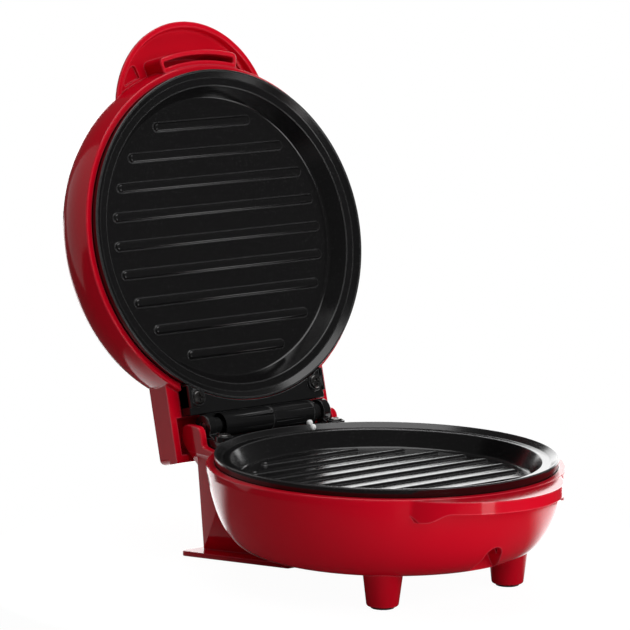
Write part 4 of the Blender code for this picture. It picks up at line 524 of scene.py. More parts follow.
red = Paint("gloss_red_moulding")
flow = red.noise(0.030, 3)
peel = red.noise(0.0016, 2)
# Near corners the base colour is blended towards that pale pink, a painted highlight along every edge, and
# the coat is made heavier there.
red_edge_coat_and_highlight = red.edges(0.0008, 0.004, 0.03)
red.set({
    "Base Color": red.blend(0.03 * flow + 0.45 * red_edge_coat_and_highlight, RED, RED_EDGE_HIGHLIGHT),
    "Roughness": 0.115 + 0.05 * peel,
    "Specular IOR Level": 0.17,
    "Coat Weight": 0.15 + 0.85 * red_edge_coat_and_highlight,
    "Coat Roughness": 0.04,
    "Normal": red.relief(peel + 2.5 * red.noise(0.012, 1), 0.000006, 0.0006),
})
red.cover(housing)


def put(piece, place, body, slot, *nodes):
    """Sets a finished piece in its half, rides it on that body and lets it stand for CAD nodes."""
    piece.data.transform(place)
    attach(piece, body)
    if nodes:
        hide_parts(*nodes)


put(housing, base_place, "base", "red_plastic", "base_housing")

# Cooking plates
# Two alike castings with a satin non-stick coat: a lip, a sloping ledge, a steep wall down to the
# floor, and nine ribs with rounded crests and ends. Three bosses below take the fixing screws.
PLATE_RADIUS = 0.0635
PLATE_LEDGE = -0.0018
PLATE_LIP_UNDERSIDE = -0.0043
PLATE_FLOOR = -0.0085
PLATE_UNDERSIDE = -0.0106
PLATE_LINE = (
    (0, PLATE_FLOOR, 0), (0.0536, PLATE_FLOOR, 0.0016), (0.0573, PLATE_LEDGE, 0.0005),
    (0.0604, PLATE_LEDGE, 0.0006), (0.0627, 0, 0.0003), (PLATE_RADIUS, 0, 0.0004),
    (0.0628, PLATE_LIP_UNDERSIDE, 0.0003), (0.0607, PLATE_LIP_UNDERSIDE, 0.0003),
    (0.0594, -0.0060, 0.001), (0.0557, PLATE_UNDERSIDE, 0.0016), (0, PLATE_UNDERSIDE, 0),
)
RIBS_EACH_SIDE = 4
RIB_PITCH = 0.01093
RIB_CIRCLE = 0.0495
RIB_FOOT = 0.0031
RIB_ROOT_DEPTH = 0.0006
RIB_HEIGHT = 0.00115
RIB_SLOPE = math.radians(60)
RIB_FILLET = 0.0005
RIB_CREST_RADIUS = 0.0012
RIB_ARC_STEPS = 5
PLATE_BOSS_RADIUS = 0.0036
PLATE_BOSS_ROOT = -0.0101
PLATE_BOSS_END = -0.0180
PLATE_BOSS_HOLE_RADIUS = 0.0016
PLATE_BOSS_HOLE_END = -0.0123
PLATE_BOSS_LINE = (
    (0, PLATE_BOSS_ROOT, 0), (PLATE_BOSS_RADIUS, PLATE_BOSS_ROOT, 0),
    (PLATE_BOSS_RADIUS, PLATE_BOSS_END, 0.0003), (PLATE_BOSS_HOLE_RADIUS, PLATE_BOSS_END, 0),
    (PLATE_BOSS_HOLE_RADIUS, PLATE_BOSS_HOLE_END, 0), (0, PLATE_BOSS_HOLE_END, 0),
)
COAT = (0.0042, 0.0040, 0.0042)
# The second coat colour is a pale grey: a few random flecks, and a painted highlight along the edges of ribs
# and lips.
COAT_FLECK_AND_EDGE_HIGHLIGHT = (0.125, 0.124, 0.126)


def rib(across):
    """One rib as rings that climb from its foot round the crest, each a rounded-ended oval."""
    reach = math.sqrt(RIB_CIRCLE**2 - across**2) - RIB_FOOT / 2
    turns = [RIB_SLOPE * step / RIB_ARC_STEPS for step in range(RIB_ARC_STEPS + 1)]
    foot = RIB_FOOT / 2 + RIB_FILLET
    side = RIB_FOOT / 2 - (RIB_HEIGHT - RIB_FILLET - RIB_CREST_RADIUS / 2) / math.tan(RIB_SLOPE)
    crest = side - RIB_CREST_RADIUS * math.sin(RIB_SLOPE)
    levels = [(foot, -RIB_ROOT_DEPTH)]
    levels += [(foot - RIB_FILLET * math.sin(t), RIB_FILLET * (1 - math.cos(t))) for t in turns]
    levels += [(crest + RIB_CREST_RADIUS * math.sin(t), RIB_HEIGHT - RIB_CREST_RADIUS * (1 - math.cos(t)))
               for t in reversed(turns)]

    def fill(work):
        rings = []
        for width, height in levels:
            ends = arc(width, -math.pi / 2, math.pi / 2, (reach, across), 12)
            ends += arc(width, math.pi / 2, math.pi * 1.5, (-reach, across), 12)
            rings.append([work.verts.new((x, y, PLATE_FLOOR + height)) for x, y in ends])
        work.faces.new(rings[0])
        work.faces.new(rings[-1])
        for ring, following in zip(rings, rings[1:]):
            for k in range(len(ring)):
                n = (k + 1) % len(ring)
                work.faces.new((ring[k], ring[n], following[n], following[k]))
    return solid("rib", fill)


coat = Paint("satin_non_stick_coat")
grain = coat.noise(0.00035, 3, 0.6)
fleck_stops = ((0.0, 0.0), (0.62, 0.0), (0.72, 1.0))
fleck = coat.node("ShaderNodeValToRGB", {"stops": fleck_stops}, {"Fac": coat.noise(0.0007, 1)})
# Near corners the coat's colour goes to that pale grey, a painted highlight along rib and lip edges; a few
# random flecks take the same grey.
coat.set({
    "Base Color": coat.blend(0.08 * fleck + 0.92 * coat.edges(0.0006, 0.006, 0.035), COAT, COAT_FLECK_AND_EDGE_HIGHLIGHT),
    "Roughness": 0.14 + 0.08 * grain,
    "Specular IOR Level": 0.7,
    "Normal": coat.relief(grain, 0.00001, 0.0003),
})

for name, place, body in (("lower_grill_plate", base_place, "base"), ("upper_grill_plate", lid_place, "lid")):
    plate = lathe(name + "_casting", rounded(PLATE_LINE), RING_STEPS)
    for row in range(-RIBS_EACH_SIDE, RIBS_EACH_SIDE + 1):
        joined(plate, rib(row * RIB_PITCH))
    for x, y in post_places():
        joined(plate, moved(lathe("boss", rounded(PLATE_BOSS_LINE)), x, y))
    coat.cover(smooth(plate, 40))
    put(plate, place, body, "non_stick_coating", name)

# Hinge cover of the base
# Gloss black plastic behind the lower plate. A screw boss rises near each end, and outside them
# stand the two knuckles that hold the hinge pins; the middle is hollowed for the lid's barrel.
COVER_TOP = -0.0015
COVER_BOTTOM = -0.0060
COVER_HALF = 0.0302
COVER_FRONT_Y = 0.0500
COVER_BACK_Y = 0.0708
COVER_ROUND = 0.0005
PLATE_ROOM_RADIUS = 0.0638
PLATE_ROOM_BOTTOM = -0.01
PLATE_ROOM_TOP = 0.005
BOSS_X = 0.0272
BOSS_Y = 0.06145
BOSS_TOP = 0.0003
BOSS_RADIUS = 0.0035
BOSS_ROUND = 0.0003
BOSS_ROOT_DEPTH = 0.0004
BOSS_RECESS_RADIUS = 0.0028
BOSS_RECESS_DEPTH = 0.0012
BOSS_HOLE_RADIUS = 0.0016
BOSS_HOLE_BOTTOM = -0.010
BOSS_HOLE_TOP = 0.001
BARREL_RADIUS = 0.0045
BARREL_CLEARANCE = 0.0006
KNUCKLE_RADIUS = 0.0046
KNUCKLE_INNER = 0.0261
KNUCKLE_OUTER = 0.0295
KNUCKLE_BACK_Y = 0.0704
KNUCKLE_ROOT_DEPTH = 0.0008
KNUCKLE_ROUND = 0.0003
PIN_RADIUS = 0.0016
PIN_CLEARANCE = 0.0002
PIN_ROOM_HALF = 0.034
BLACK = (0.0060, 0.0060, 0.0062)
# The second black is a grey: a faint random mottle, and a painted highlight along edges.
BLACK_MOTTLE_AND_EDGE_HIGHLIGHT = (0.10, 0.10, 0.102)


def along_hinge(piece, y, z):
    """Lays an upright turned piece along the hinge."""
    piece.data.transform(Matrix.Translation((0, y, z)) @ Matrix.Rotation(math.pi / 2, 4, "Y"))
    return piece


def drum(name, radius, low, high, steps=48, edge=0.0):
    """An upright cylinder with rounded rims."""
    return lathe(name, rounded([(0, high, 0), (radius, high, edge), (radius, low, edge), (0, low, 0)]), steps)


def boss(x, y, root, top):
    return moved(drum("boss", BOSS_RADIUS, root, top, 56, BOSS_ROUND), x, y)


def boss_cutters(x, y, top, above):
    """The recess for a screw's head in a boss, and the hole below it."""
    recess = drum("recess", BOSS_RECESS_RADIUS, top - BOSS_RECESS_DEPTH, above)
    hole = drum("hole", BOSS_HOLE_RADIUS, BOSS_HOLE_BOTTOM, BOSS_HOLE_TOP, 32)
    return moved(recess, x, y), moved(hole, x, y)


cover = eased(box("base_hinge_cover_moulding", (-COVER_HALF, COVER_FRONT_Y, COVER_BOTTOM),
                  (COVER_HALF, COVER_BACK_Y, COVER_TOP)), COVER_ROUND)
for side in (-1, 1):
    low, high = sorted((side * KNUCKLE_INNER, side * KNUCKLE_OUTER))
    knuckle_root = COVER_TOP - KNUCKLE_ROOT_DEPTH
    outline = arc(KNUCKLE_RADIUS, -math.pi / 6, math.pi * 7 / 6, (hinge_y, hinge_z), 40)
    outline += [(hinge_y - 2 * KNUCKLE_RADIUS, knuckle_root), (KNUCKLE_BACK_Y, knuckle_root)]
    joined(cover, eased(slab("knuckle", outline, low, high, "X"), KNUCKLE_ROUND, 2, 60))
    joined(cover, boss(side * BOSS_X, BOSS_Y, COVER_TOP - BOSS_ROOT_DEPTH, BOSS_TOP))
for side in (-1, 1):
    carved(cover, *boss_cutters(side * BOSS_X, BOSS_Y, BOSS_TOP, OVERRUN))
barrel_room = drum("barrel_room", BARREL_RADIUS + BARREL_CLEARANCE, -KNUCKLE_INNER, KNUCKLE_INNER, 64)
pin_room = drum("pin_room", PIN_RADIUS + PIN_CLEARANCE, -PIN_ROOM_HALF, PIN_ROOM_HALF)
carved(cover, plug("plate_room", PLATE_ROOM_RADIUS, PLATE_ROOM_BOTTOM, PLATE_ROOM_TOP, RING_STEPS),
       along_hinge(barrel_room, hinge_y, hinge_z), along_hinge(pin_room, hinge_y, hinge_z))
smooth(cover)

black = Paint("gloss_black_moulding")
skin = black.noise(0.0011, 2)
# Near corners the black is lightened to that grey, a painted highlight along its edges, over a faint random
# mottle.
black_edge_highlight = black.edges(0.0004, 0.02, 0.08)
black.set({
    "Base Color": black.blend(0.04 * black.noise(0.02, 2) + 0.96 * black_edge_highlight, BLACK, BLACK_MOTTLE_AND_EDGE_HIGHLIGHT),
    "Roughness": 0.12 + 0.08 * skin,
    "Normal": black.relief(skin, 0.000006, 0.0004),
})
black.cover(cover)
put(cover, base_place, "base", "black_plastic", "base_hinge_cover")

# Hinge cover of the lid
# The matching black cover below the upper plate. It has two screw bosses, a raised edge at each
# end, and a neck that reaches back to the long barrel, which has three thin collars turned on it.
LID_HALF = 0.0326
LID_BACK = -0.0060
LID_REACH = 0.0667
LID_FRONT_Y = -0.0500
LID_ROOT = LID_BACK + 0.0004
LID_BOSS_X = 0.0285
LID_BOSS_Y = -0.0603
LID_BOSS_TOP = 0.0010
LID_BOSS_RECESS_TOP = 0.005
LID_PLATE_ROOM_TOP = 0.0055
LID_EDGE_WIDTH = 0.0011
LID_EDGE_TOP = 0.0011
LID_EDGE_ROUND = 0.0003
LID_EDGE_FRONT_Y = -0.0552
LID_EDGE_BACK_Y = -0.0638
NECK_HALF = 0.0246
NECK_FRONT_TOP = -0.0026
NECK_ROOT_DEPTH = 0.0002
COLLAR_RADIUS = 0.0048
BARREL_ROUND = 0.0002
BARREL_TURNINGS = (
    (0.0032, -0.0258, 0.0258), (BARREL_RADIUS, -0.0219, 0.0219), (COLLAR_RADIUS, 0.00165, 0.00275),
    (COLLAR_RADIUS, -0.0226, -0.0215), (COLLAR_RADIUS, 0.0215, 0.0226),
)
PIN_BORE_INNER = 0.0176
PIN_BORE_OUTER = 0.0298
PIN_BORE_CLEARANCE = 0.0003
lid_hinge_y = -hinge_y
lid_hinge_z = CLOSED_GAP - hinge_z

lid_cover = box("lid_hinge_cover_moulding", (-LID_HALF, -LID_REACH, LID_BACK), (LID_HALF, LID_FRONT_Y, 0))
eased(lid_cover, COVER_ROUND)
neck_outline = [
    (-LID_REACH + BARREL_RADIUS, LID_ROOT), (-LID_REACH + BARREL_RADIUS, NECK_FRONT_TOP),
    (lid_hinge_y + BARREL_RADIUS / 2, lid_hinge_z - BARREL_RADIUS / 2),
    (lid_hinge_y, lid_hinge_z - BARREL_RADIUS / 2),
    (lid_hinge_y, lid_hinge_z - BARREL_RADIUS + NECK_ROOT_DEPTH), (-LID_REACH, LID_ROOT),
]
joined(lid_cover, slab("neck", neck_outline, -NECK_HALF, NECK_HALF, "X"))
for radius, low, high in BARREL_TURNINGS:
    turning = drum("barrel", radius, low, high, 72, BARREL_ROUND)
    joined(lid_cover, along_hinge(turning, lid_hinge_y, lid_hinge_z))
for side in (-1, 1):
    low, high = sorted((side * LID_HALF, side * (LID_HALF - LID_EDGE_WIDTH)))
    edge = box("edge", (low, LID_EDGE_BACK_Y, LID_ROOT), (high, LID_EDGE_FRONT_Y, LID_EDGE_TOP))
    joined(lid_cover, boss(side * LID_BOSS_X, LID_BOSS_Y, LID_ROOT, LID_BOSS_TOP))
    joined(lid_cover, eased(edge, LID_EDGE_ROUND))
    carved(lid_cover, *boss_cutters(side * LID_BOSS_X, LID_BOSS_Y, LID_BOSS_TOP, LID_BOSS_RECESS_TOP))
carved(lid_cover, plug("plate_room", PLATE_ROOM_RADIUS, PLATE_ROOM_BOTTOM, LID_PLATE_ROOM_TOP, RING_STEPS))
for side in (-1, 1):
    low, high = sorted((side * PIN_BORE_OUTER, side * PIN_BORE_INNER))
    bore = drum("bore", PIN_RADIUS + PIN_BORE_CLEARANCE, low, high)
    carved(lid_cover, along_hinge(bore, lid_hinge_y, lid_hinge_z))
black.cover(smooth(lid_cover))
put(lid_cover, lid_place, "lid", "black_plastic", "lid_hinge_cover")

# Screws of the hinge covers
# Four blackened pan-head screws, one in each boss, with a cross recess that is coned in the middle.
# Each head lies in its recess and its shank runs down into the housing or the dome.
HEAD_RADIUS = 0.0026
HEAD_HEIGHT = 0.0018
HEAD_DEPTH_IN_BOSS = 0.0009
SHANK_RADIUS = 0.0013
SCREW_LINE = (
    (0, HEAD_HEIGHT, 0), (HEAD_RADIUS, HEAD_HEIGHT * 0.8, 0.0007), (HEAD_RADIUS, 0, 0.0002),
    (SHANK_RADIUS, 0, 0), (SHANK_RADIUS, -0.0078, 0), (0, -0.0091, 0),
)
CROSS_HALF_LENGTH = 0.0014
CROSS_HALF_WIDTH = 0.00035
CROSS_DEPTH = 0.0009
CROSS_TOP = 0.003
CONE_LINE = (
    (0, HEAD_HEIGHT - 0.0008), (0.0004, HEAD_HEIGHT - 0.0008),
    (0.0013, HEAD_HEIGHT + 0.0003), (0, HEAD_HEIGHT + 0.0003),
)

burnished = Paint("blackened_screw_steel")
marks = burnished.noise(0.0006, 3)
burnished.set({
    "Base Color": burnished.blend(marks, (0.11, 0.107, 0.104), (0.22, 0.215, 0.21)),
    "Metallic": 1.0,
    "Roughness": 0.22 + 0.12 * marks,
    "Normal": burnished.relief(marks, 0.00001, 0.0002),
})
for name, place, x, y, top, body in (
        ("base_cover_screw_1", base_place, -BOSS_X, BOSS_Y, BOSS_TOP, "base"),
        ("base_cover_screw_2", base_place, BOSS_X, BOSS_Y, BOSS_TOP, "base"),
        ("lid_cover_screw_1", lid_place, -LID_BOSS_X, LID_BOSS_Y, LID_BOSS_TOP, "lid"),
        ("lid_cover_screw_2", lid_place, LID_BOSS_X, LID_BOSS_Y, LID_BOSS_TOP, "lid")):
    screw = lathe(name + "_detailed", rounded(SCREW_LINE))
    for long, wide in ((CROSS_HALF_LENGTH, CROSS_HALF_WIDTH), (CROSS_HALF_WIDTH, CROSS_HALF_LENGTH)):
        carved(screw, box("arm", (-long, -wide, HEAD_HEIGHT - CROSS_DEPTH), (long, wide, CROSS_TOP)))
    carved(screw, lathe("cone", CONE_LINE, 4))
    moved(smooth(screw), x, y, top - HEAD_DEPTH_IN_BOSS)
    burnished.cover(screw)
    put(screw, place, body, "blackened_steel", name)

# Lid cover
# The second gloss red moulding: a dome with a half-round tab handle at its front, hollow on the
# plate's side, with a raised slot along the dome, and a square skirt that drops behind the hinge.
DOME_TOP = -0.02975
DOME_HANDLES = ((0.0657, -0.0048), (0.0686, -0.0163), (0.0645, DOME_TOP), (0.0438, DOME_TOP))
SKIRT_HALF = 0.0383
SKIRT_REACH = 0.0836
SKIRT_FRONT_Y = -0.0400
SKIRT_MOUTH = -0.0057
SKIRT_BACK = -0.0176
SKIRT_WALL = 0.0029
SKIRT_ROUND = 0.0022
SKIRT_BAND = 0.0044
SKIRT_ROOM_FRONT_Y = -0.0668
MOUTH_HALF = 0.05
MOUTH_BACK_Y = -0.09
MOUTH_DEPTH = 0.0022
HANDLE_Y = 0.0472
HANDLE_RADIUS = 0.0369
HANDLE_RIM = 0.0009
HANDLE_LIP = 0.0022
HANDLE_TAPER = 0.0046
HANDLE_FLOOR_TAPER = 0.0008
HANDLE_FACE = -0.0120
HANDLE_FLOOR = -0.0148
HANDLE_BACK = -0.0178
HANDLE_STEPS = 160
TAB_LINE = (
    (0, HANDLE_BACK, 0), (HANDLE_RADIUS - HANDLE_TAPER, HANDLE_BACK, 0.0020),
    (HANDLE_RADIUS, HANDLE_FACE - HANDLE_RIM, 0.0004), (HANDLE_RADIUS, HANDLE_FACE, 0.0004),
    (HANDLE_RADIUS - HANDLE_LIP, HANDLE_FACE, 0.0005),
    (HANDLE_RADIUS - HANDLE_LIP - HANDLE_FLOOR_TAPER, HANDLE_FLOOR, 0.0009), (0, HANDLE_FLOOR, 0),
)
LOOP_RING = (0.0655, 0.0717, 0.0189, 0.0020)
LOOP_TOP = -0.0040
LOOP_ROOT_DEPTH = 0.0010
LOOP_ROUND = 0.0007
SLOT_RING = (0.0676, 0.0699, 0.0170, 0.0009)
POCKET_RING = (0.0675, 0.0700, 0.0171, 0.0009)
POCKET_SKIN = 0.0010
SIDE_POCKET_RING = (0.0674, 0.0726, 0.0043, 0.0012)
SIDE_POCKET_TURN = math.radians(21.8)
SIDE_POCKET_DEPTH = 0.0012
SIDE_POCKET_MARGIN = 0.0042
LID_POST_BOTTOM = -0.0151
PILOT_BOTTOM = -0.0138
HINGE_ROOM_HALF = 0.0329
HINGE_ROOM_FRONT_Y = -0.0165
HINGE_ROOM_CLEARANCE = 0.0003
WINDOW_RADIUS = 0.0037
WINDOW_Y = 0.0200
WINDOW_DEPTH = 0.0063
CORNER_STEPS = 6
SECTOR_STEPS = 24


def ring_sector(inner, outer, half_width, corner, middle=math.pi / 2):
    """Part of a ring about the origin, centred on the angle middle, with round outer corners."""
    half = math.asin(half_width / outer)
    near = corner / outer
    turns = [math.pi / 2 * step / CORNER_STEPS for step in range(CORNER_STEPS + 1)]
    edge = [(half - near * (1 - math.sin(t)), outer - corner * (1 - math.cos(t))) for t in turns]
    sweep = [(half - near - 2 * (half - near) * s / SECTOR_STEPS, outer) for s in range(1, SECTOR_STEPS)]
    inside = [(-half + 2 * half * s / SECTOR_STEPS, inner) for s in range(SECTOR_STEPS + 1)]
    spokes = edge[::-1] + sweep + [(-turn, radius) for turn, radius in edge] + inside
    return [(r * math.cos(middle + t), r * math.sin(middle + t)) for t, r in spokes]


dome_line = bezier(DOME_HANDLES)
dome = lathe("lid_cover_skin", shell_line(dome_line, DOME_TOP), RING_STEPS)

skirt = eased(box("skirt", (-SKIRT_HALF, -SKIRT_REACH, SKIRT_BACK), (SKIRT_HALF, SKIRT_FRONT_Y, SKIRT_MOUTH)),
              SKIRT_ROUND, 5)
carved(skirt, box("mouth", (-MOUTH_HALF, MOUTH_BACK_Y, SKIRT_MOUTH - MOUTH_DEPTH),
                  (MOUTH_HALF, OVERRUN, OVERRUN)))
joined(skirt, box("band", (-SKIRT_HALF, -SKIRT_REACH, SKIRT_MOUTH - SKIRT_BAND),
                  (SKIRT_HALF, SKIRT_FRONT_Y, SKIRT_MOUTH)))
carved(skirt, core(dome_line, DOME_TOP))
room_half = SKIRT_HALF - SKIRT_WALL
room_back_y = -SKIRT_REACH + SKIRT_WALL
skirt_room = box("room", (-room_half, room_back_y, SKIRT_BACK + SKIRT_WALL),
                 (room_half, SKIRT_ROOM_FRONT_Y, OVERRUN))

tab = moved(lathe("tab", rounded(TAB_LINE), HANDLE_STEPS), 0, HANDLE_Y)
carved(tab, core(dome_line, DOME_TOP))
loop = slab("loop", ring_sector(*LOOP_RING), HANDLE_FLOOR - LOOP_ROOT_DEPTH, LOOP_TOP)
eased(carved(loop, slab("slot", ring_sector(*SLOT_RING), HANDLE_BACK, 0)), LOOP_ROUND, 4, 50)
pockets = [slab("pocket", ring_sector(*POCKET_RING), HANDLE_BACK + POCKET_SKIN, 0)]
limit_outline = arc(HANDLE_RADIUS - SIDE_POCKET_MARGIN, 0, math.tau, (0, HANDLE_Y), HANDLE_STEPS)[:-1]
for side in (-1, 1):
    pocket_outline = ring_sector(*SIDE_POCKET_RING, math.pi / 2 + side * SIDE_POCKET_TURN)
    pocket = slab("side_pocket", pocket_outline, HANDLE_FLOOR - SIDE_POCKET_DEPTH, 0)
    pockets.append(combined(pocket, "INTERSECT", [slab("limit", limit_outline, HANDLE_BACK, OVERRUN)]))
joined(dome, skirt, tab)
carved(dome, skirt_room, *pockets)
joined(dome, loop)
for side in (-1, 1):
    joined(dome, moved(drum("post", POST_RADIUS, LID_POST_BOTTOM, 0), side * LID_BOSS_X, LID_BOSS_Y))
carved(dome, box("hinge_room", (-HINGE_ROOM_HALF, room_back_y, LID_BACK - HINGE_ROOM_CLEARANCE),
                 (HINGE_ROOM_HALF, HINGE_ROOM_FRONT_Y, OVERRUN)))
for side in (-1, 1):
    pilot = drum("pilot", BOSS_HOLE_RADIUS, PILOT_BOTTOM, OVERRUN, 32)
    carved(dome, moved(pilot, side * LID_BOSS_X, LID_BOSS_Y))
carved(dome, moved(drum("window", WINDOW_RADIUS, DOME_TOP - OVERRUN, DOME_TOP + WINDOW_DEPTH), 0, WINDOW_Y))
red.cover(smooth(dome))
put(dome, lid_place, "lid", "red_plastic", "lid_cover")

# White bumper
# Two joined beads of soft white silicone, one over the other, on the rear lip of the lower plate.
# The frame's own bumper gives their place.
BEAD_RADIUS = 0.00122
BEAD_STEPS = 16
BEAD_PLACES = ((0.0004, -0.0005, 0), (-0.0004, 0.0005, 0.0016))

bead_line = arc(BEAD_RADIUS, -math.pi / 2, math.pi / 2, steps=BEAD_STEPS)
bead_line[0], bead_line[-1] = (0, -BEAD_RADIUS), (0, BEAD_RADIUS)
bumper_low, bumper_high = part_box("silicone_bumper")
bumper_x, bumper_y = (bumper_low.x + bumper_high.x) / 2, (bumper_low.y + bumper_high.y) / 2
bead_z = bumper_low.z + BEAD_RADIUS
beads = [moved(lathe("silicone_bumper_beads", bead_line, 36), bumper_x + x, bumper_y + y, bead_z + z)
         for x, y, z in BEAD_PLACES]
bumper = smooth(joined(*beads))
silicone = Paint("white_silicone")
cloud = silicone.noise(0.0008, 2)
silicone.set({
    "Base Color": silicone.blend(cloud, (0.84, 0.84, 0.84), (0.92, 0.92, 0.91)),
    "Roughness": 0.32 + 0.1 * cloud,
    "Normal": silicone.relief(cloud, 0.00001, 0.0002),
})
silicone.cover(bumper)
put(bumper, Matrix(), "base", "white_silicone", "silicone_bumper")

# Pieces that stay as the frame gives them
# Heater tubes, pressed shields, thermostats, fuse, terminal block, lamp, pins and plate screws lie
# inside; the foot pads, the cord's gland and the lens show. Only their finish is made here.
bright = Paint("bright_steel")
brush = bright.noise(0.0012, 4)
bright.set({
    "Base Color": bright.blend(brush, (0.48, 0.48, 0.49), (0.62, 0.62, 0.63)),
    "Metallic": 1.0,
    "Roughness": 0.24 + 0.12 * brush,
})
sheath = Paint("heater_sheath")
scale_marks = sheath.noise(0.002, 4)
sheath.set({
    "Base Color": sheath.blend(scale_marks, (0.16, 0.15, 0.145), (0.27, 0.26, 0.25)),
    "Metallic": 1.0,
    "Roughness": 0.40 + 0.2 * scale_marks,
})
stoneware = Paint("white_ceramic")
pores = stoneware.noise(0.0005, 3)
stoneware.set({
    "Base Color": stoneware.blend(pores, (0.70, 0.68, 0.62), (0.80, 0.78, 0.72)),
    "Roughness": 0.5 + 0.15 * pores,
    "Normal": stoneware.relief(pores, 0.00003, 0.0003),
})
rubber = Paint("black_rubber")
pits = rubber.noise(0.0005, 3)
rubber.set({
    "Base Color": rubber.blend(pits, (0.014, 0.014, 0.014), (0.026, 0.026, 0.026)),
    "Roughness": 0.62 + 0.15 * pits,
    "Normal": rubber.relief(pits, 0.00003, 0.0003),
})
amber = Paint("amber_lens")
tint = amber.noise(0.004, 2)
amber.set({
    "Base Color": amber.blend(tint, (0.62, 0.09, 0.012), (0.72, 0.13, 0.02)),
    "Roughness": 0.08 + 0.05 * tint,
    "Coat Weight": 0.5,
})
nodes = frame["nodes"]
bright.cover(nodes["lower_heat_shield"], nodes["upper_heat_shield"],
             nodes["left_hinge_pin"], nodes["right_hinge_pin"])
sheath.cover(nodes["lower_heating_element"], nodes["upper_heating_element"])
stoneware.cover(nodes["terminal_block"], nodes["thermal_fuse"], nodes["indicator_lamp"])
rubber.cover(nodes["left_foot_pad"], nodes["right_foot_pad"], nodes["cord_gland"])
amber.cover(nodes["indicator_lens"])
for name in sorted(nodes):
    if name.startswith(("lower_plate_screw", "upper_plate_screw")) or name.endswith("thermostat"):
        burnished.cover(nodes[name])

# Floor, world and lamps
# A round pale table under a white sky, its far half white in reflections. Soft boxes stand behind
# it and overhead, low strips draw lines of light, and two fills keep the front's colours even.
TABLE_RADIUS = 0.138
TABLE_TOP = -0.0001
TABLE_BOTTOM = -0.012
TABLE_ROUND = 0.002
TABLE_GREY = (0.60, 0.60, 0.60)
TABLE_GREY_MIRRORED = (0.18, 0.18, 0.18)
WHITE = (1, 1, 1, 1)
CAMERA_GLOW = 1.10
CAMERA_GLOW_SHARE = 0.88
SHEEN = 2.0
SHEEN_DIRECTION = (0.77, 0.64, 0)
SHEEN_START = -0.015
SHEEN_FULL = 0.030
SKY = 0.07
SKY_ADDED = (("Is Camera Ray", 0.93), ("Is Glossy Ray", 0.01), ("Is Transmission Ray", 0.50))

ground = Paint("pale_floor")
seen = ground.node("ShaderNodeLightPath", {}, {}, "Is Camera Ray")
mirrored = ground.node("ShaderNodeLightPath", {}, {}, "Is Glossy Ray")
# For glossy rays the table's grey drops to a dark grey, painted shade in its reflections, and its far half
# glows white, a painted reflection.
ground.set({
    "Base Color": ground.blend(0.9 * mirrored + 0.1 * ground.noise(0.4, 1), TABLE_GREY, TABLE_GREY_MIRRORED),
    "Roughness": 0.9,
    "Specular IOR Level": 0.1,
})
glow = ground.node("ShaderNodeEmission", {}, {"Color": WHITE, "Strength": CAMERA_GLOW})
lit = Socket(ground, ground.shader.outputs[0])
mixed = ground.node("ShaderNodeMixShader", {}, {0: seen * CAMERA_GLOW_SHARE, 1: lit, 2: glow})
depth = ground.node("ShaderNodeVectorMath", {"operation": "DOT_PRODUCT"},
                    {0: ground.place(), 1: SHEEN_DIRECTION}, 1)
behind = ground.node("ShaderNodeMapRange", {"interpolation_type": "SMOOTHSTEP"}, {
    "Value": depth, "From Min": SHEEN_START, "From Max": SHEEN_FULL})
sheen = ground.node("ShaderNodeEmission", {}, {"Color": WHITE, "Strength": SHEEN})
mixed = ground.node("ShaderNodeMixShader", {}, {0: mirrored * behind, 1: mixed, 2: sheen})
ground.plug(ground.tree.nodes["Material Output"].inputs["Surface"], mixed)
floor = drum("floor", TABLE_RADIUS, TABLE_BOTTOM, TABLE_TOP, 128, TABLE_ROUND)
ground.cover(floor)
floor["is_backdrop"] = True

world = bpy.data.worlds.new("studio")
bpy.context.scene.world = world
world.use_nodes = True
sky = world.node_tree
backdrop = sky.nodes["Background"]
backdrop.inputs["Color"].default_value = WHITE
path = sky.nodes.new("ShaderNodeLightPath")
level = None
for ray, share in SKY_ADDED:
    step = sky.nodes.new("ShaderNodeMath")
    step.operation = "MULTIPLY_ADD"
    sky.links.new(path.outputs[ray], step.inputs[0])
    step.inputs[1].default_value = share
    step.inputs[2].default_value = SKY
    if level:
        sky.links.new(level, step.inputs[2])
    level = step.outputs[0]
sky.links.new(level, backdrop.inputs["Strength"])


def soft_box(name, bearing, distance, sideways, low, high, width, radiance):
    """An upright panel of even light at a bearing from the table, turned to face it."""
    turn = math.radians(bearing)
    out = Vector((math.cos(turn), math.sin(turn), 0))
    place = out * distance + Vector((out.y, -out.x, 0)) * sideways + Vector((0, 0, (low + high) / 2))
    lamp = bpy.data.lights.new(name, "AREA")
    lamp.shape = "RECTANGLE"
    lamp.size = width
    lamp.size_y = high - low
    lamp.energy = radiance * math.pi * width * (high - low)
    made = bpy.data.objects.new(name, lamp)
    made.location = place
    made.rotation_euler = (-Vector((place.x, place.y, 0))).to_track_quat("-Z", "Z").to_euler()
    made.visible_camera = False
    bpy.context.scene.collection.objects.link(made)
    return made


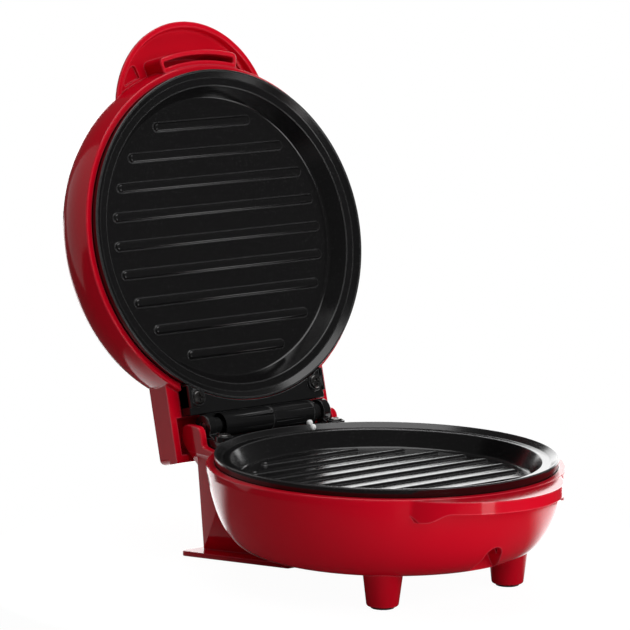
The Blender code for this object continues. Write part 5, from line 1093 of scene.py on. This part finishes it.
soft_box("rear_box", 50, 0.90, sideways=0.10, low=-0.25, high=0.50, width=1.00, radiance=2.6)
soft_box("rear_left_box", 125, 0.90, sideways=0, low=-0.10, high=0.65, width=0.80, radiance=0.60)
overhead = soft_box("overhead_box", 0, 0, sideways=0, low=0.80, high=1.80, width=1.2, radiance=2.0)
overhead.rotation_euler = (0, 0, 0)
for strip in (soft_box("low_strip", 78, 0.90, sideways=0, low=-0.25, high=0.02, width=0.36, radiance=2.2),
              soft_box("front_strip", -94, 0.90, sideways=0, low=-0.45, high=0.12, width=0.20, radiance=4.0)):
    strip.visible_diffuse = False
for fill in (soft_box("front_fill", -82, 1.30, sideways=0, low=0.20, high=1.40, width=1.6, radiance=2.8),
             soft_box("low_fill", -85, 0.80, sideways=0, low=-0.70, high=-0.10, width=1.2, radiance=3.2)):
    fill.visible_glossy = False

# Camera
# It stands where the photograph was taken from, turned and tilted in the same way, as worked out
# from the rims, the ribs and the hinge.
CAMERA_PLACE = (-0.99627, -1.183321, 0.35029)
CAMERA_BEARING = math.radians(39.767)
CAMERA_FALL = math.radians(9.374)
CAMERA_ROLL = math.radians(0.634)
CAMERA_LENS = 241.888
CAMERA_SENSOR = 36

level_share = math.cos(CAMERA_FALL)
ahead = Vector((math.sin(CAMERA_BEARING) * level_share, math.cos(CAMERA_BEARING) * level_share,
                -math.sin(CAMERA_FALL)))
right = Vector((math.cos(CAMERA_BEARING), -math.sin(CAMERA_BEARING), 0))
up = right.cross(ahead)
right, up = (right * math.cos(CAMERA_ROLL) + up * math.sin(CAMERA_ROLL),
             up * math.cos(CAMERA_ROLL) - right * math.sin(CAMERA_ROLL))
camera = bpy.data.objects.new("camera", bpy.data.cameras.new("camera"))
bpy.context.scene.collection.objects.link(camera)
turned = Matrix((right, up, -ahead)).transposed().to_4x4()
camera.matrix_world = Matrix.Translation(CAMERA_PLACE) @ turned
camera.data.sensor_width = CAMERA_SENSOR
camera.data.lens = CAMERA_LENS
bpy.context.scene.camera = camera
bpy.context.scene.view_settings.view_transform = "Standard"

low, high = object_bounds()
